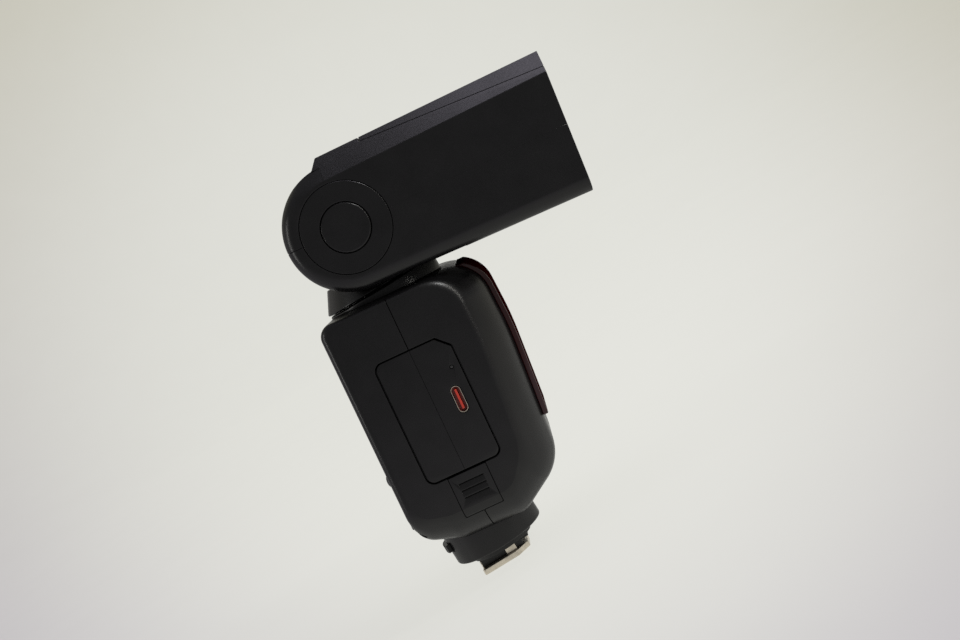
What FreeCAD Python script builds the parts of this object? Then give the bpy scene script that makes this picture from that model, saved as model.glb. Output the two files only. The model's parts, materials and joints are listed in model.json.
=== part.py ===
import FreeCAD, Part

import math
import os

# Speedlight flash that stands on a camera's accessory shoe. Units are millimetres.
#
# Frame: the origin is the centre of the foot's underside. +Z is up along the foot's normal, +X is the
# side that faces the subject and +Y is the photographer's left.
# The casing leans forward over the foot by LEAN. Casing pieces are drawn upright, in the casing frame,
# and then leaned about the origin. Head pieces are drawn about the tilt axle with the beam along +X.

V = FreeCAD.Vector
parts = {}

# ---------------------------------------------------------------- driving dimensions
LEAN = 7.0  # forward lean of the casing over the foot, in degrees, and the head's lowest tilt

CASE_BACK = -21.6
CASE_TOP = 100.2
CASE_BOTTOM = 16.3
CASE_HALF = 36.5  # half width
CASE_FLAT_HALF = 16.0  # half width of the part of the front that is flat from side to side
WALL = 2.0
SEAM_X = 2.6  # plane where the front and rear housings meet
SEAM_GAP = 0.1

PIVOT_X = 16.75  # tilt axle
PIVOT_Z = 124.5
PAN_X = 13.0  # swivel axis
PAN_Z = 102.5  # underside of the turning swivel base
COLLAR_X = 0.8  # axis of the round foot collar
COLLAR_R = 16.5
COLLAR_Z = 6.9

HEAD_HALF = 38.0
HEAD_R = 20.7  # round back of the head, about the tilt axle
HEAD_EDGE_R = 5.0  # its rounded rims and lower edges
SHOULDER_HALF = 30.2  # half width of the flat top between the chamfered shoulders
HEAD_FRONT_TOP = (77.6, 24.8)
HEAD_FRONT_LOW = (75.4, -22.3)
HEAD_REAR_TOP = (-0.3, 24.0)
CAP_R = 14.7  # round side caps
BUTTON_R = 8.0  # lock button in the right cap
CHEEK_HALF = 18.25  # half width of the slot between the head's cheeks
BARREL_R = 18.6
BARREL_HALF = 17.6
AXLE_R = 4.5

DOOR = (-9.8, 15.4, 39.85, 81.85)  # battery door: low x, high x, low z, high z
DOOR_GAP = 0.35
LATCH = (-3.75, 9.35, 25.1, 39.2)
LATCH_SLOPE = (0.866, -0.5)  # the latch is pressed in and down, along this direction in Y and Z
LATCH_TRAVEL = 2.2
LATCH_Y = -34.6  # where the latch's lower face crosses its bottom edge
LATCH_LEAD = 2.6  # length of its lower face outside and inside of there
LATCH_REACH = 3.0
OUTSIDE = -45.0
USB_X = 10.6
USB_Z = 61.2

FOOT_HALF_X = 9.0
FOOT_HALF_Y = 9.3
FOOT_T = 1.9

RUN = 0.06  # radial clearance of a running fit


# ---------------------------------------------------------------- helpers
def at(plane, u, v, w):
    """A point from two in-plane values and a level along the third axis."""
    if plane == "xz":
        return V(u, w, v)
    if plane == "xy":
        return V(u, v, w)
    return V(w, u, v)


def outline(corners, plane, level):
    """Closed wire through corners (u, v, radius), each rounded by its radius."""
    starts, mids, ends = [], [], []
    count = len(corners)
    for i, (u, v, radius) in enumerate(corners):
        before, after = corners[i - 1], corners[(i + 1) % count]
        here = V(u, v, 0)
        to_before = (V(before[0], before[1], 0) - here).normalize()
        to_after = (V(after[0], after[1], 0) - here).normalize()
        half = to_before.getAngle(to_after) / 2
        inward = (to_before + to_after).normalize()
        reach = radius / math.tan(half)
        starts.append(here + to_before * reach)
        mids.append(here + inward * (radius / math.sin(half) - radius))
        ends.append(here + to_after * reach)
    edges = []
    for i, (u, v, radius) in enumerate(corners):
        start, mid, end = (at(plane, p.x, p.y, level) for p in (starts[i], mids[i], ends[i]))
        following = starts[(i + 1) % count]
        if radius > 0:
            edges.append(Part.Arc(start, mid, end).toShape())
        edges.append(Part.makeLine(end, at(plane, following.x, following.y, level)))
    return Part.Wire(edges)


def slab(corners, plane, low, high):
    """Solid between two levels, with a rounded outline."""
    push = at(plane, 0, 0, high - low)
    return Part.Face(outline(corners, plane, low)).extrude(push)


def sharp(points, plane, low, high):
    """Solid between two levels, with a sharp-cornered outline."""
    return slab([(u, v, 0) for u, v in points], plane, low, high)


def plate(u0, u1, v0, v1, radius, plane, low, high):
    """Rounded rectangle between two levels."""
    return slab([(u0, v0, radius), (u1, v0, radius), (u1, v1, radius), (u0, v1, radius)], plane, low, high)


def block(x0, x1, y0, y1, z0, z1):
    return Part.makeBox(x1 - x0, y1 - y0, z1 - z0, V(x0, y0, z0))


def rod(radius, start, end):
    start, end = V(*start), V(*end)
    return Part.makeCylinder(radius, (end - start).Length, start, end - start)


def ring(outer, inner, start, end):
    return rod(outer, start, end).cut(rod(inner, start, end))


def both_sides(shape):
    """The shape and its mirror image across the XZ plane."""
    return [shape, shape.mirror(V(0, 0, 0), V(0, 1, 0))]


def lean(shape):
    """Casing frame to object frame."""
    moved = shape.copy()
    moved.rotate(V(0, 0, 0), V(0, 1, 0), LEAN)
    return moved


def unlean(shape):
    """Object frame to casing frame."""
    moved = shape.copy()
    moved.rotate(V(0, 0, 0), V(0, 1, 0), -LEAN)
    return moved


def seat_head(shape):
    """Head frame to object frame, with the head at its lowest tilt."""
    moved = shape.copy()
    moved.rotate(V(0, 0, 0), V(0, 1, 0), LEAN)
    moved.translate(V(PIVOT_X, 0, PIVOT_Z))
    return moved


def unseat_head(shape):
    """Object frame to head frame."""
    moved = shape.copy()
    moved.translate(V(-PIVOT_X, 0, -PIVOT_Z))
    moved.rotate(V(0, 0, 0), V(0, 1, 0), -LEAN)
    return moved


# ---------------------------------------------------------------- casing surface
FRONT_WRAP_R = 26.9
BOTTOM_FLAT_HALF = 18.5
BOTTOM_WRAP_R = 19.5
BACK_R = 3.0
TOP_R = 2.2


def fall(half_width, start, radius):
    """How far a round edge that begins at start has fallen in at half_width."""
    run = max(0.0, half_width - start)
    return radius - math.sqrt(max(0.0, radius * radius - run * run))


def casing_corners(half_width, inset):
    """Corners of the casing's side outline at one distance from the middle plane."""
    back = CASE_BACK + fall(half_width, CASE_HALF - BACK_R, BACK_R) + inset
    top = CASE_TOP - fall(half_width, CASE_HALF - TOP_R, TOP_R) - inset
    front = -fall(half_width, CASE_FLAT_HALF, FRONT_WRAP_R) - inset
    low = fall(half_width, BOTTOM_FLAT_HALF, BOTTOM_WRAP_R) + inset
    return [
        (back, top, 6.0 - inset / 2),
        (33.4 + front, top, 12.0 - inset),
        (34.5 + front, 74.0, 120.0),
        (31.9 + front, 27.0 + 0.9 * low, 13.0 - inset),
        (14.0, CASE_BOTTOM - 0.2 + low, 8.0 - inset),
        (-8.0, CASE_BOTTOM + low, 10.0),
        (back, 22.5 + 0.8 * low, 8.0 - inset / 2),
    ]


def casing_solid(inset):
    """Casing's outer solid, or its hollow when inset is the wall thickness."""
    edge = CASE_HALF
    steps = [CASE_FLAT_HALF + 1.75 * i for i in range(11)]
    steps += [edge - 2.4, edge - 1.8, edge - 1.2, edge - 0.7, edge - 0.3, edge]
    squeeze = (edge - inset - CASE_FLAT_HALF) / (edge - CASE_FLAT_HALF)
    middle = slab(casing_corners(CASE_FLAT_HALF, inset), "xz", -CASE_FLAT_HALF, CASE_FLAT_HALF)
    wires = []
    for half_width in steps:
        level = CASE_FLAT_HALF + (half_width - CASE_FLAT_HALF) * squeeze
        wires.append(outline(casing_corners(half_width, inset), "xz", -level))
    side = Part.makeLoft(wires, True, False)
    return middle.fuse(both_sides(side)).removeSplitter()


CASING = casing_solid(0.0)
HOLLOW = casing_solid(WALL)


# ---------------------------------------------------------------- rear controls, in the casing frame
LCD = (-24.8, 24.8, 61.0, 91.6)  # display window: low y, high y, low z, high z
FUNCTION_Y = [-19.5, -6.5, 6.5, 19.5]
FUNCTION_Z = 55.4
FUNCTION_SIZE = (10.0, 4.2)
DIAL_Z = 37.6
DIAL_R = 13.0
SET_R = 5.9
SMALL_BUTTON_Y = 26.5
SMALL_BUTTON_Z = 45.0
SMALL_BUTTON_R = 2.1
LOWER_Z = 29.6  # test button and power switch
TEST_Y = 23.5
TEST_R = 3.2
SWITCH_Y = -24.5
BUTTON_GAP = 0.2
SCREWS = [(-30.5, 94.2), (30.5, 94.2), (-28.5, 25.6), (28.5, 25.6)]  # casing screws: y, z

BAY = (-9.9, 15.5, 39.7, 82.0)  # inside of the battery bay: low x, high x, low z, high z
BAY_END = 32.4
BAY_WALL = 1.0
PORTS = (17.8, 24.0, 52.0, 80.0)  # side port cover: low x, high x, low z, high z
PORT_HINGE_R = 0.65  # round edge that the port cover turns on


def hole_in_back(y, z, radius):
    return rod(radius, (CASE_BACK - 3, y, z), (CASE_BACK + 5, y, z))


def housing_openings():
    """Everything that is cut out of the casing's walls."""
    cuts = [
        plate(LCD[0] - 0.15, LCD[1] + 0.15, LCD[2] - 0.15, LCD[3] + 0.15, 2.2, "yz", -30, -15),
        hole_in_back(0, DIAL_Z, DIAL_R + BUTTON_GAP),
        hole_in_back(TEST_Y, LOWER_Z, TEST_R + BUTTON_GAP),
        plate(SWITCH_Y - 5.2, SWITCH_Y + 5.2, LOWER_Z - 2.4, LOWER_Z + 2.4, 1.5, "yz", -30, -15),
        door_outline(DOOR_GAP, -45, -33),
        latch_pocket(),
        port_pocket(),
        plate(-15, 15, 56, 88, 3, "yz", 25, 40),
        unlean(rod(12.4, (PAN_X, 0, 90), (PAN_X, 0, 110))),
        unlean(rod(13.5, (COLLAR_X, 0, 8), (COLLAR_X, 0, 24))),
    ]
    half, tall = FUNCTION_SIZE[0] / 2 + BUTTON_GAP, FUNCTION_SIZE[1] / 2 + BUTTON_GAP
    for y in FUNCTION_Y:
        cuts.append(plate(y - half, y + half, FUNCTION_Z - tall, FUNCTION_Z + tall, 1.2, "yz", -30, -15))
    for y in (-SMALL_BUTTON_Y, SMALL_BUTTON_Y):
        cuts.append(hole_in_back(y, SMALL_BUTTON_Z, SMALL_BUTTON_R + BUTTON_GAP))
    for y, z in SCREWS:
        cuts.append(rod(1.25, (-30, y, z), (11.5, y, z)))
        cuts.append(rod(2.3, (-30, y, z), (-17.5, y, z)))
    return cuts


def door_outline(gap, low, high):
    """Battery door's outline, with its cut corner, grown by gap."""
    x0, x1, z0, z1 = DOOR[0] - gap, DOOR[1] + gap, DOOR[2] - gap, DOOR[3] + gap
    cut = 4.2
    corners = [(x0, z0, 2.6), (x1, z0, 2.6), (x1, z1 - cut, 0.8), (x1 - cut, z1, 0.8), (x0, z1, 2.2)]
    return slab(corners, "xz", low, high)


def port_pocket():
    """Opening for the side port cover, squarer and wider along the hinged edge."""
    x0, x1, z0, z1 = PORTS[0] - 0.5, PORTS[1] + 0.2, PORTS[2] - 0.2, PORTS[3] + 0.2
    return slab([(x0, z0, 0.4), (x1, z0, 1.4), (x1, z1, 1.4), (x0, z1, 0.4)], "xz", 33, 40)


def latch_room(low, reach, inner, top):
    """YZ outline that the latch or its pocket fills. The lower face runs along the latch's own slope."""
    start = (LATCH_Y - LATCH_LEAD * LATCH_SLOPE[0], low - LATCH_LEAD * LATCH_SLOPE[1])
    end = (LATCH_Y + reach * LATCH_SLOPE[0], low + reach * LATCH_SLOPE[1])
    return [start, end, (inner, end[1]), (inner, top), (OUTSIDE, top), (OUTSIDE, start[1])]


def latch_pocket():
    """Opening for the latch, deep enough for its travel."""
    points = latch_room(LATCH[2] - 0.2, LATCH_REACH + LATCH_TRAVEL + 0.6, -27.5, 39.6)
    return sharp(points, "yz", LATCH[0] - 0.15, LATCH[1] + 0.15)


def housings():
    """Rear and front half shells, with screw bosses on ribs from the roof and from the floor."""
    bosses = []
    for y, z in SCREWS:
        far = CASE_TOP if z > 60 else CASE_BOTTOM
        rib = block(-20.5, 12.0, y - 0.8, y + 0.8, min(z, far), max(z, far))
        bosses.append(rod(2.9, (-20.5, y, z), (12.0, y, z)).fuse(rib).common(CASING))
    shell = CASING.cut(HOLLOW).fuse(bosses).cut(housing_openings())
    big = 80
    rear = shell.common(block(-big, SEAM_X - SEAM_GAP / 2, -big, big, 0, 2 * big))
    front = shell.common(block(SEAM_X + SEAM_GAP / 2, big, -big, big, 0, 2 * big))
    parts["rear_housing"] = lean(rear)
    parts["front_housing"] = lean(front)


def casing_screws():
    screws = []
    for y, z in SCREWS:
        head = rod(2.0, (-19.0, y, z), (-17.6, y, z))
        screws.append(rod(1.15, (-19.0, y, z), (11.0, y, z)).fuse(head))
    parts["casing_screws"] = lean(Part.makeCompound(screws))


def front_window():
    """Dark red window, standing proud of the front, with the assist lamp behind it."""
    grown = [(10, 101.1, 0), (35.2, 101.1, 12.5), (36.4, 74.0, 120.0), (34.4, 42.4, 0), (10, 42.4, 0)]
    window = slab(grown, "xz", -19.5, 19.5).cut(CASING)
    window = window.common(block(26.6, 60, -19.5, 19.5, 42.4, 99.3))
    parts["front_window"] = lean(window)
    backing = block(29.4, 30.6, -14, 14, 57, 87)
    lamps = [rod(3.4, (30.6, y, z), (31.9, y, z)) for y, z in ((-7.5, 80.0), (7.5, 80.0), (0, 66.0))]
    parts["assist_lamp"] = lean(backing.fuse(lamps))


def display():
    parts["display_window"] = lean(plate(LCD[0], LCD[1], LCD[2], LCD[3], 2.0, "yz", -21.7, -20.3))
    parts["display_module"] = lean(block(-20.2, -17.4, -23.6, 23.6, 61.6, 91.0))


def boards():
    """Main board behind the display, power board above the foot, and the storage capacitors."""
    board = block(-15.4, -13.8, -29, 29, 40, 89.5)
    for y, z in ((-18, 76), (14, 80), (-4, 60), (20, 56)):
        board = board.fuse(block(-13.8, -12.4, y - 4, y + 4, z - 4, z + 4))
    parts["main_board"] = lean(board)
    power = block(-11.0, 17.0, -22, 24, 34.6, 36.2)
    transformer = block(-4.0, 9.0, -4, 9, 24.6, 34.6)
    parts["power_board"] = lean(power.fuse(transformer))
    cans = [rod(6.1, (22.8, y, 40.0), (22.8, y, 88.0)) for y in (-8.2, 8.2)]
    parts["capacitors"] = lean(Part.makeCompound(cans))


def battery_bay():
    x0, x1, z0, z1 = BAY
    w = BAY_WALL
    tray = block(x0 - w, x1 + w, -34.3, BAY_END + w, z0 - w, z1 + w)
    tray = tray.cut(block(x0, x1, -50, BAY_END, z0, z1))
    tray = tray.cut(block(LATCH[0] - 0.4, LATCH[1] + 0.4, -50, -30.5, z0 - 3, z0))
    parts["battery_bay"] = lean(tray)
    blades = [block(x - 1.2, x + 1.2, BAY_END - 0.6, BAY_END, 45, 49) for x in (-4.0, 0.0, 4.0, 8.0)]
    parts["battery_contacts"] = lean(Part.makeCompound(blades))


def battery():
    """Battery pack: door plate, case with two cells, USB port and charge lamp."""
    x0, x1, z0, z1 = DOOR
    door = door_outline(0.0, -36.4, -34.5)
    port_hole = plate(USB_X - 1.75, USB_X + 1.75, USB_Z - 4.6, USB_Z + 4.6, 1.7, "xz", -40, -28)
    lamp_hole = rod(0.75, (12.7, -40, 71.6), (12.7, -34, 71.6))
    parts["battery_door"] = lean(door.cut([port_hole, lamp_hole]))
    case = door_outline(-0.3, -34.4, 31.5)
    case = case.cut(block(x0 + 1.5, x1 - 1.5, -50, 30.3, z0 + 1.5, z1 - 1.5))
    parts["battery_case"] = lean(case)
    cells = [rod(9.1, (0.95, -34.4, z), (0.95, 30.2, z)) for z in (51.0, 70.6)]
    parts["battery_cells"] = lean(Part.makeCompound(cells))
    shell = plate(USB_X - 1.6, USB_X + 1.6, USB_Z - 4.47, USB_Z + 4.47, 1.58, "xz", -36.3, -29.8)
    inside = plate(USB_X - 1.3, USB_X + 1.3, USB_Z - 4.17, USB_Z + 4.17, 1.28, "xz", -40, -30.3)
    parts["usb_shell"] = lean(shell.cut(inside))
    tongue = block(USB_X - 0.35, USB_X + 0.35, -35.6, -30.35, USB_Z - 3.3, USB_Z + 3.3)
    parts["usb_tongue"] = lean(tongue)
    parts["charge_lamp"] = lean(rod(0.7, (12.7, -36.3, 71.6), (12.7, -34.5, 71.6)))


def battery_latch():
    """Ribbed latch that follows the casing's surface and fills its pocket."""
    room = sharp(latch_room(LATCH[2], LATCH_REACH, -30.0, LATCH[3]), "yz", LATCH[0], LATCH[1])
    skin = room.common(CASING).cut(HOLLOW)
    grooves = [block(-1.4, 7.2, -37, -36.0, z - 0.35, z + 0.35) for z in (35.6, 33.3, 30.9)]
    parts["battery_latch"] = lean(skin.cut(grooves))


def buttons():
    """Everything that is pressed or turned on the back."""
    half, tall = FUNCTION_SIZE[0] / 2, FUNCTION_SIZE[1] / 2
    for number, y in enumerate(FUNCTION_Y, 1):
        cap = plate(y - half, y + half, FUNCTION_Z - tall, FUNCTION_Z + tall, 1.0, "yz", -22.1, -17.0)
        parts["function_button_%d" % number] = lean(cap)
    crown_x, crown_r = -23.2, 6.5
    for name, y in (("mode_button", -SMALL_BUTTON_Y), ("menu_button", SMALL_BUTTON_Y)):
        stem = rod(SMALL_BUTTON_R, (crown_x, y, SMALL_BUTTON_Z), (-17.0, y, SMALL_BUTTON_Z))
        crown = Part.makeSphere(crown_r, V(crown_x + crown_r, y, SMALL_BUTTON_Z))
        parts[name] = lean(stem.common(crown))
    parts["test_button"] = lean(rod(TEST_R, (-22.0, TEST_Y, LOWER_Z), (-17.0, TEST_Y, LOWER_Z)))
    knob = plate(SWITCH_Y - 5.0, SWITCH_Y - 0.4, LOWER_Z - 2.2, LOWER_Z + 2.2, 1.2, "yz", -22.4, -19.0)
    parts["power_switch"] = lean(knob)
    wheel = ring(DIAL_R, SET_R + 0.2, (-22.2, 0, DIAL_Z), (-18.0, 0, DIAL_Z))
    parts["control_dial"] = lean(wheel)
    parts["set_button"] = lean(rod(SET_R, (-21.9, 0, DIAL_Z), (-17.0, 0, DIAL_Z)))


def side_ports():
    x0, x1, z0, z1 = PORTS
    hinge_x, hinge_y = x0 + PORT_HINGE_R, 35.1 + PORT_HINGE_R
    clip = 0.9
    corners = [(hinge_x, z0 + clip, 0), (hinge_x + clip, z0, 0), (x1, z0, 1.2), (x1, z1, 1.2)]
    corners += [(hinge_x + clip, z1, 0), (hinge_x, z1 - clip, 0)]
    leaf = slab(corners, "xz", 35.1, 36.4)
    edge = rod(PORT_HINGE_R, (hinge_x, hinge_y, z0 + clip), (hinge_x, hinge_y, z1 - clip))
    parts["port_cover"] = lean(leaf.fuse(edge))
    holder = block(x0, x1 - 1.2, 26.5, 33.0, z0 + 1, z1 - 1)
    holder = holder.cut(plate(19.3, 22.5, 55.6, 64.6, 1.55, "xz", 27.5, 40))
    holder = holder.cut(rod(1.3, (20.9, 27.5, 72.6), (20.9, 40, 72.6)))
    parts["side_sockets"] = lean(holder)


# ---------------------------------------------------------------- foot, in the object frame
LOCK_PIN_X = 6.4
PINS = [(0.0, 0.0, 1.0), (-4.6, -2.9, 0.7), (-4.6, 2.9, 0.7), (-1.6, -3.9, 0.7), (-1.6, 3.9, 0.7)]
LEVER_Z = (12.6, 15.4)


def ring_sector(outer, inner, low, high, start, sweep):
    """Part of a ring about the collar's axis, from start through sweep, in degrees."""
    wedge = Part.makeCylinder(outer, high - low, V(COLLAR_X, 0, low), V(0, 0, 1), sweep)
    wedge.rotate(V(COLLAR_X, 0, 0), V(0, 0, 1), start)
    return wedge.cut(rod(inner, (COLLAR_X, 0, low - 1), (COLLAR_X, 0, high + 1)))


def foot():
    """Collar, shoe block, shoe plate, contact pins, lock lever and lock pin."""
    drum = rod(COLLAR_R, (COLLAR_X, 0, COLLAR_Z), (COLLAR_X, 0, 24)).cut(lean(CASING))
    drum = drum.cut(rod(13.6, (COLLAR_X, 0, COLLAR_Z + 2.4), (COLLAR_X, 0, 30)))
    drum = drum.cut(rod(9.5, (COLLAR_X, 0, 0), (COLLAR_X, 0, 30)))
    lever_slot = ring_sector(20, 12, LEVER_Z[0] - 0.25, LEVER_Z[1] + 0.25, 92, 116)
    parts["foot_collar"] = drum.cut(lever_slot)

    hub = ring(13.2, 10.9, (COLLAR_X, 0, LEVER_Z[0]), (COLLAR_X, 0, LEVER_Z[1]))
    tab = ring_sector(17.9, 12.0, LEVER_Z[0], LEVER_Z[1], 156, 48)
    parts["lock_lever"] = hub.fuse(tab)

    neck = block(-8.4, 7.4, -6.0, 6.0, FOOT_T + 0.05, 4.6)
    insulator = plate(-6.3, 3.0, -4.9, 4.9, 1.0, "xy", 0.1, 3.0)
    disc = rod(11.2, (COLLAR_X, 0, 4.6), (COLLAR_X, 0, COLLAR_Z - 0.05))
    column = rod(9.3, (COLLAR_X, 0, COLLAR_Z - 0.05), (COLLAR_X, 0, 11.8))
    catch = block(6.5, 10.2, -5.2, 5.2, 3.4, 6.4)
    body = neck.fuse([insulator, disc, column, catch])
    for x, y, radius in PINS:
        body = body.cut(rod(radius + RUN, (x, y, -1), (x, y, 9.5)))
        body = body.cut(rod(radius + 0.5, (x, y, 5.0), (x, y, 9.5)))
    parts["shoe_block"] = body.cut(rod(1.1 + RUN, (LOCK_PIN_X, 0, -1), (LOCK_PIN_X, 0, 20)))

    hx, hy = FOOT_HALF_X, FOOT_HALF_Y
    corners = [(-hx, -hy, 0.8), (4.4, -hy, 0.6), (hx, -4.8, 0.8)]
    corners += [(hx, 4.8, 0.8), (4.4, hy, 0.6), (-hx, hy, 0.8)]
    base = slab(corners, "xy", 0, FOOT_T)
    base = base.cut(plate(-6.5, 3.2, -5.1, 5.1, 1.1, "xy", -1, 5))
    base = base.cut(rod(1.35, (LOCK_PIN_X, 0, -1), (LOCK_PIN_X, 0, 5)))
    lip = block(-hx, -hx + 0.5, -5.0, 5.0, FOOT_T - 0.4, 4.3)
    tabs = both_sides(block(0.8, 4.8, 6.1, 6.9, FOOT_T - 0.4, 4.4))
    parts["shoe_plate"] = base.fuse([lip] + tabs)

    pins = []
    for x, y, radius in PINS:
        flange = rod(radius + 0.4, (x, y, 5.4), (x, y, 6.2))
        pins.append(rod(radius, (x, y, -0.7), (x, y, 8.0)).fuse(flange))
    parts["contact_pins"] = Part.makeCompound(pins)

    head = rod(2.2, (LOCK_PIN_X, 0, 14.0), (LOCK_PIN_X, 0, 16.0))
    parts["lock_pin"] = rod(1.1, (LOCK_PIN_X, 0, 0.3), (LOCK_PIN_X, 0, 14.0)).fuse(head)


# ---------------------------------------------------------------- swivel, in the object frame
TUBE_R = 10.9


def pivot_rod(radius, half):
    """Cylinder along the tilt axis, centred on the middle plane."""
    return rod(radius, (PIVOT_X, -half, PIVOT_Z), (PIVOT_X, half, PIVOT_Z))


def swivel():
    """Fixed collar on the casing and the turning neck above it."""
    wedge = rod(18.6, (14.2, 0, 88), (14.2, 0, PAN_Z - 0.4)).cut(lean(CASING))
    spigot = rod(12.3, (PAN_X, 0, 95.4), (PAN_X, 0, PAN_Z - 0.4))
    bore = rod(TUBE_R + RUN, (PAN_X, 0, 80), (PAN_X, 0, 110))
    parts["swivel_collar"] = wedge.fuse(spigot).cut(bore)

    cone_top = 110.3
    cone = Part.makeCone(20.9, 16.7, cone_top - PAN_Z, V(PAN_X, 0, PAN_Z))
    cheeks_room = pivot_rod(HEAD_R + 0.9, 30).cut(pivot_rod(40, BARREL_HALF))
    cone = cone.cut(cheeks_room)
    tube = rod(TUBE_R, (PAN_X, 0, 95.3), (PAN_X, 0, PAN_Z + 0.5))
    cable_way = rod(7.0, (PAN_X, 0, 80), (PAN_X, 0, 112))
    parts["swivel_base"] = cone.fuse(tube).cut([cable_way, pivot_rod(BARREL_R, BARREL_HALF)])

    stem_points = [(0.5, cone_top), (29.3, cone_top), (31.5, 118.0)]
    stem_points += [(31.5, 126.0), (0.0, 126.0), (-1.0, 118.0)]
    stem = sharp(stem_points, "xz", -BARREL_HALF, BARREL_HALF)
    stem = stem.common(pivot_rod(BARREL_R, 30).fuse(block(0.5, 29.3, -30, 30, cone_top, 116)))
    round_seat = rod(16.7, (PAN_X, 0, cone_top), (PAN_X, 0, 114)).fuse(block(-50, 50, -50, 50, 113.9, 160))
    stem = stem.common(round_seat)
    barrel = pivot_rod(BARREL_R, BARREL_HALF)
    hollow = pivot_rod(BARREL_R - 2.2, BARREL_HALF - 2.2)
    way = rod(7.0, (PAN_X, 0, 100), (PAN_X, 0, 122))
    yoke = barrel.fuse(stem).cut([hollow, way, pivot_rod(AXLE_R + 0.02, 30)])
    parts["yoke"] = yoke

    plate_ring = ring(14.2, 7.2, (PAN_X, 0, 92.9), (PAN_X, 0, 95.2))
    parts["swivel_plate"] = plate_ring
    clip = ring(6.8, AXLE_R - 0.5, (PIVOT_X, 20.6, PIVOT_Z), (PIVOT_X, 21.8, PIVOT_Z))
    parts["tilt_axle"] = pivot_rod(AXLE_R, 23.5).fuse(both_sides(clip)).cut(pivot_rod(3.2, 40))


# ---------------------------------------------------------------- head, in the head frame
COVER_REAR = (15.1, 22.9)  # lower edge of the top cover, at its rear end and at the front
COVER_FRONT = (77.05, 19.5)
SLOT = (18.0, 27.2, 20.3, 22.8)  # panel slot: rear x, half width, low z, high z
SPLIT_GAP = 0.1
CHEEK_INNER = 20.1
LENS = (71.8, 74.2)
HEAD_SCREWS = [(14.0, -33.0), (14.0, 33.0)]
HEAD_SCREW_SEAT = -18.9  # height that the screw heads bear on
UNDERSIDE = -20.0  # underside of the head above the swivel base
ROD_Y, ROD_Z = 27.0, -13.5
SCREW_Y, SCREW_Z = 25.5, 10.5


def head_section(x, top, low, shoulder):
    """Cross-section of the head, widest at the seam, with chamfered shoulders above."""
    side = HEAD_HALF - 0.45
    corners = [(HEAD_HALF, 0, 0), (side, shoulder, 0), (SHOULDER_HALF, top, 0), (-SHOULDER_HALF, top, 0),
               (-side, shoulder, 0), (-HEAD_HALF, 0, 0), (-HEAD_HALF, low, HEAD_EDGE_R),
               (HEAD_HALF, low, HEAD_EDGE_R)]
    return outline(corners, "yz", x)


def head_solid():
    """Outer solid of the head: a flared box whose back is round about the tilt axle."""
    sections = [head_section(-30.0, 23.9, -20.3, 15.4), head_section(80.0, 25.2, -22.4, 17.5)]
    tube = Part.makeLoft(sections, True, True)
    profile = [HEAD_REAR_TOP, HEAD_FRONT_TOP, HEAD_FRONT_LOW, (-0.43, -HEAD_R), (-0.43, 10.0), (-2.9, 20.3)]
    front = sharp(profile, "xz", -50, 50).common(tube)
    edge = HEAD_EDGE_R
    flat = HEAD_HALF - edge
    start = V(0, -flat, HEAD_R)
    out = edge * math.sqrt(0.5)
    mid_y, mid_z = flat + out, HEAD_R - edge + out
    arc = Part.Arc(start, V(0, -mid_y, mid_z), V(0, -HEAD_HALF, HEAD_R - edge))
    lines = [V(0, -HEAD_HALF, 0), V(0, HEAD_HALF, 0), V(0, HEAD_HALF, HEAD_R - edge)]
    arc_back = Part.Arc(lines[2], V(0, mid_y, mid_z), V(0, flat, HEAD_R))
    wire = Part.Wire([
        arc.toShape(),
        Part.makeLine(V(0, -HEAD_HALF, HEAD_R - edge), lines[0]),
        Part.makeLine(lines[0], lines[1]),
        Part.makeLine(lines[1], lines[2]),
        arc_back.toShape(),
        Part.makeLine(V(0, flat, HEAD_R), start),
    ])
    drum = Part.Face(wire).revolve(V(0, 0, 0), V(0, 1, 0), 360)
    back = drum.common(block(-50, 0.5, -50, 50, -50, 50))
    return front.fuse(back)


def head_rod(radius, y0, y1):
    return rod(radius, (0, y0, 0), (0, y1, 0))


def head_cavities():
    """Hollows of the head: beam chamber, cheeks, slot for the barrel and room for the neck."""
    chamber = sharp([(-35.6, -16.8), (35.6, -16.8), (35.7, 0), (35.2, 15.4), (32.2, 18.2), (-32.2, 18.2),
                     (-35.2, 15.4), (-35.7, 0)], "yz", 22, 90)
    trench = [(-35.6, -16), (-35.6, -18.4), (-33.6, -20.1), (33.6, -20.1), (35.6, -18.4), (35.6, -16)]
    chamber_low = sharp(trench, "yz", 45, 90)
    cheek = head_rod(18.7, CHEEK_INNER, 34.9).fuse(block(0, 22.5, CHEEK_INNER, 34.9, -17.6, 18.2))
    barrel_room = head_rod(BARREL_R + 0.45, -CHEEK_HALF, CHEEK_HALF)
    back_slot = head_rod(HEAD_R + 5, -CHEEK_HALF, CHEEK_HALF)
    reach = 60.0
    keep = [(0, 0)] + [
        (reach * math.cos(math.radians(a)), reach * math.sin(math.radians(a))) for a in (-32, 0, 45, 101)
    ]
    back_slot = back_slot.cut(sharp(keep, "xz", -50, 50))
    neck_room = unseat_head(rod(21.6, (PAN_X, 0, 90), (PAN_X, 0, 111.2)))
    neck_room = neck_room.cut(head_rod(HEAD_R + 0.05, -50, 50))
    relief = block(6, 43, -30, 30, -30, -18.3)
    shoulder = sharp([(7, UNDERSIDE), (31, UNDERSIDE), (36, -30), (7, -30)], "xz", -34.5, 34.5)
    return [chamber, chamber_low, barrel_room, back_slot, neck_room, relief, shoulder] + both_sides(cheek)


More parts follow.
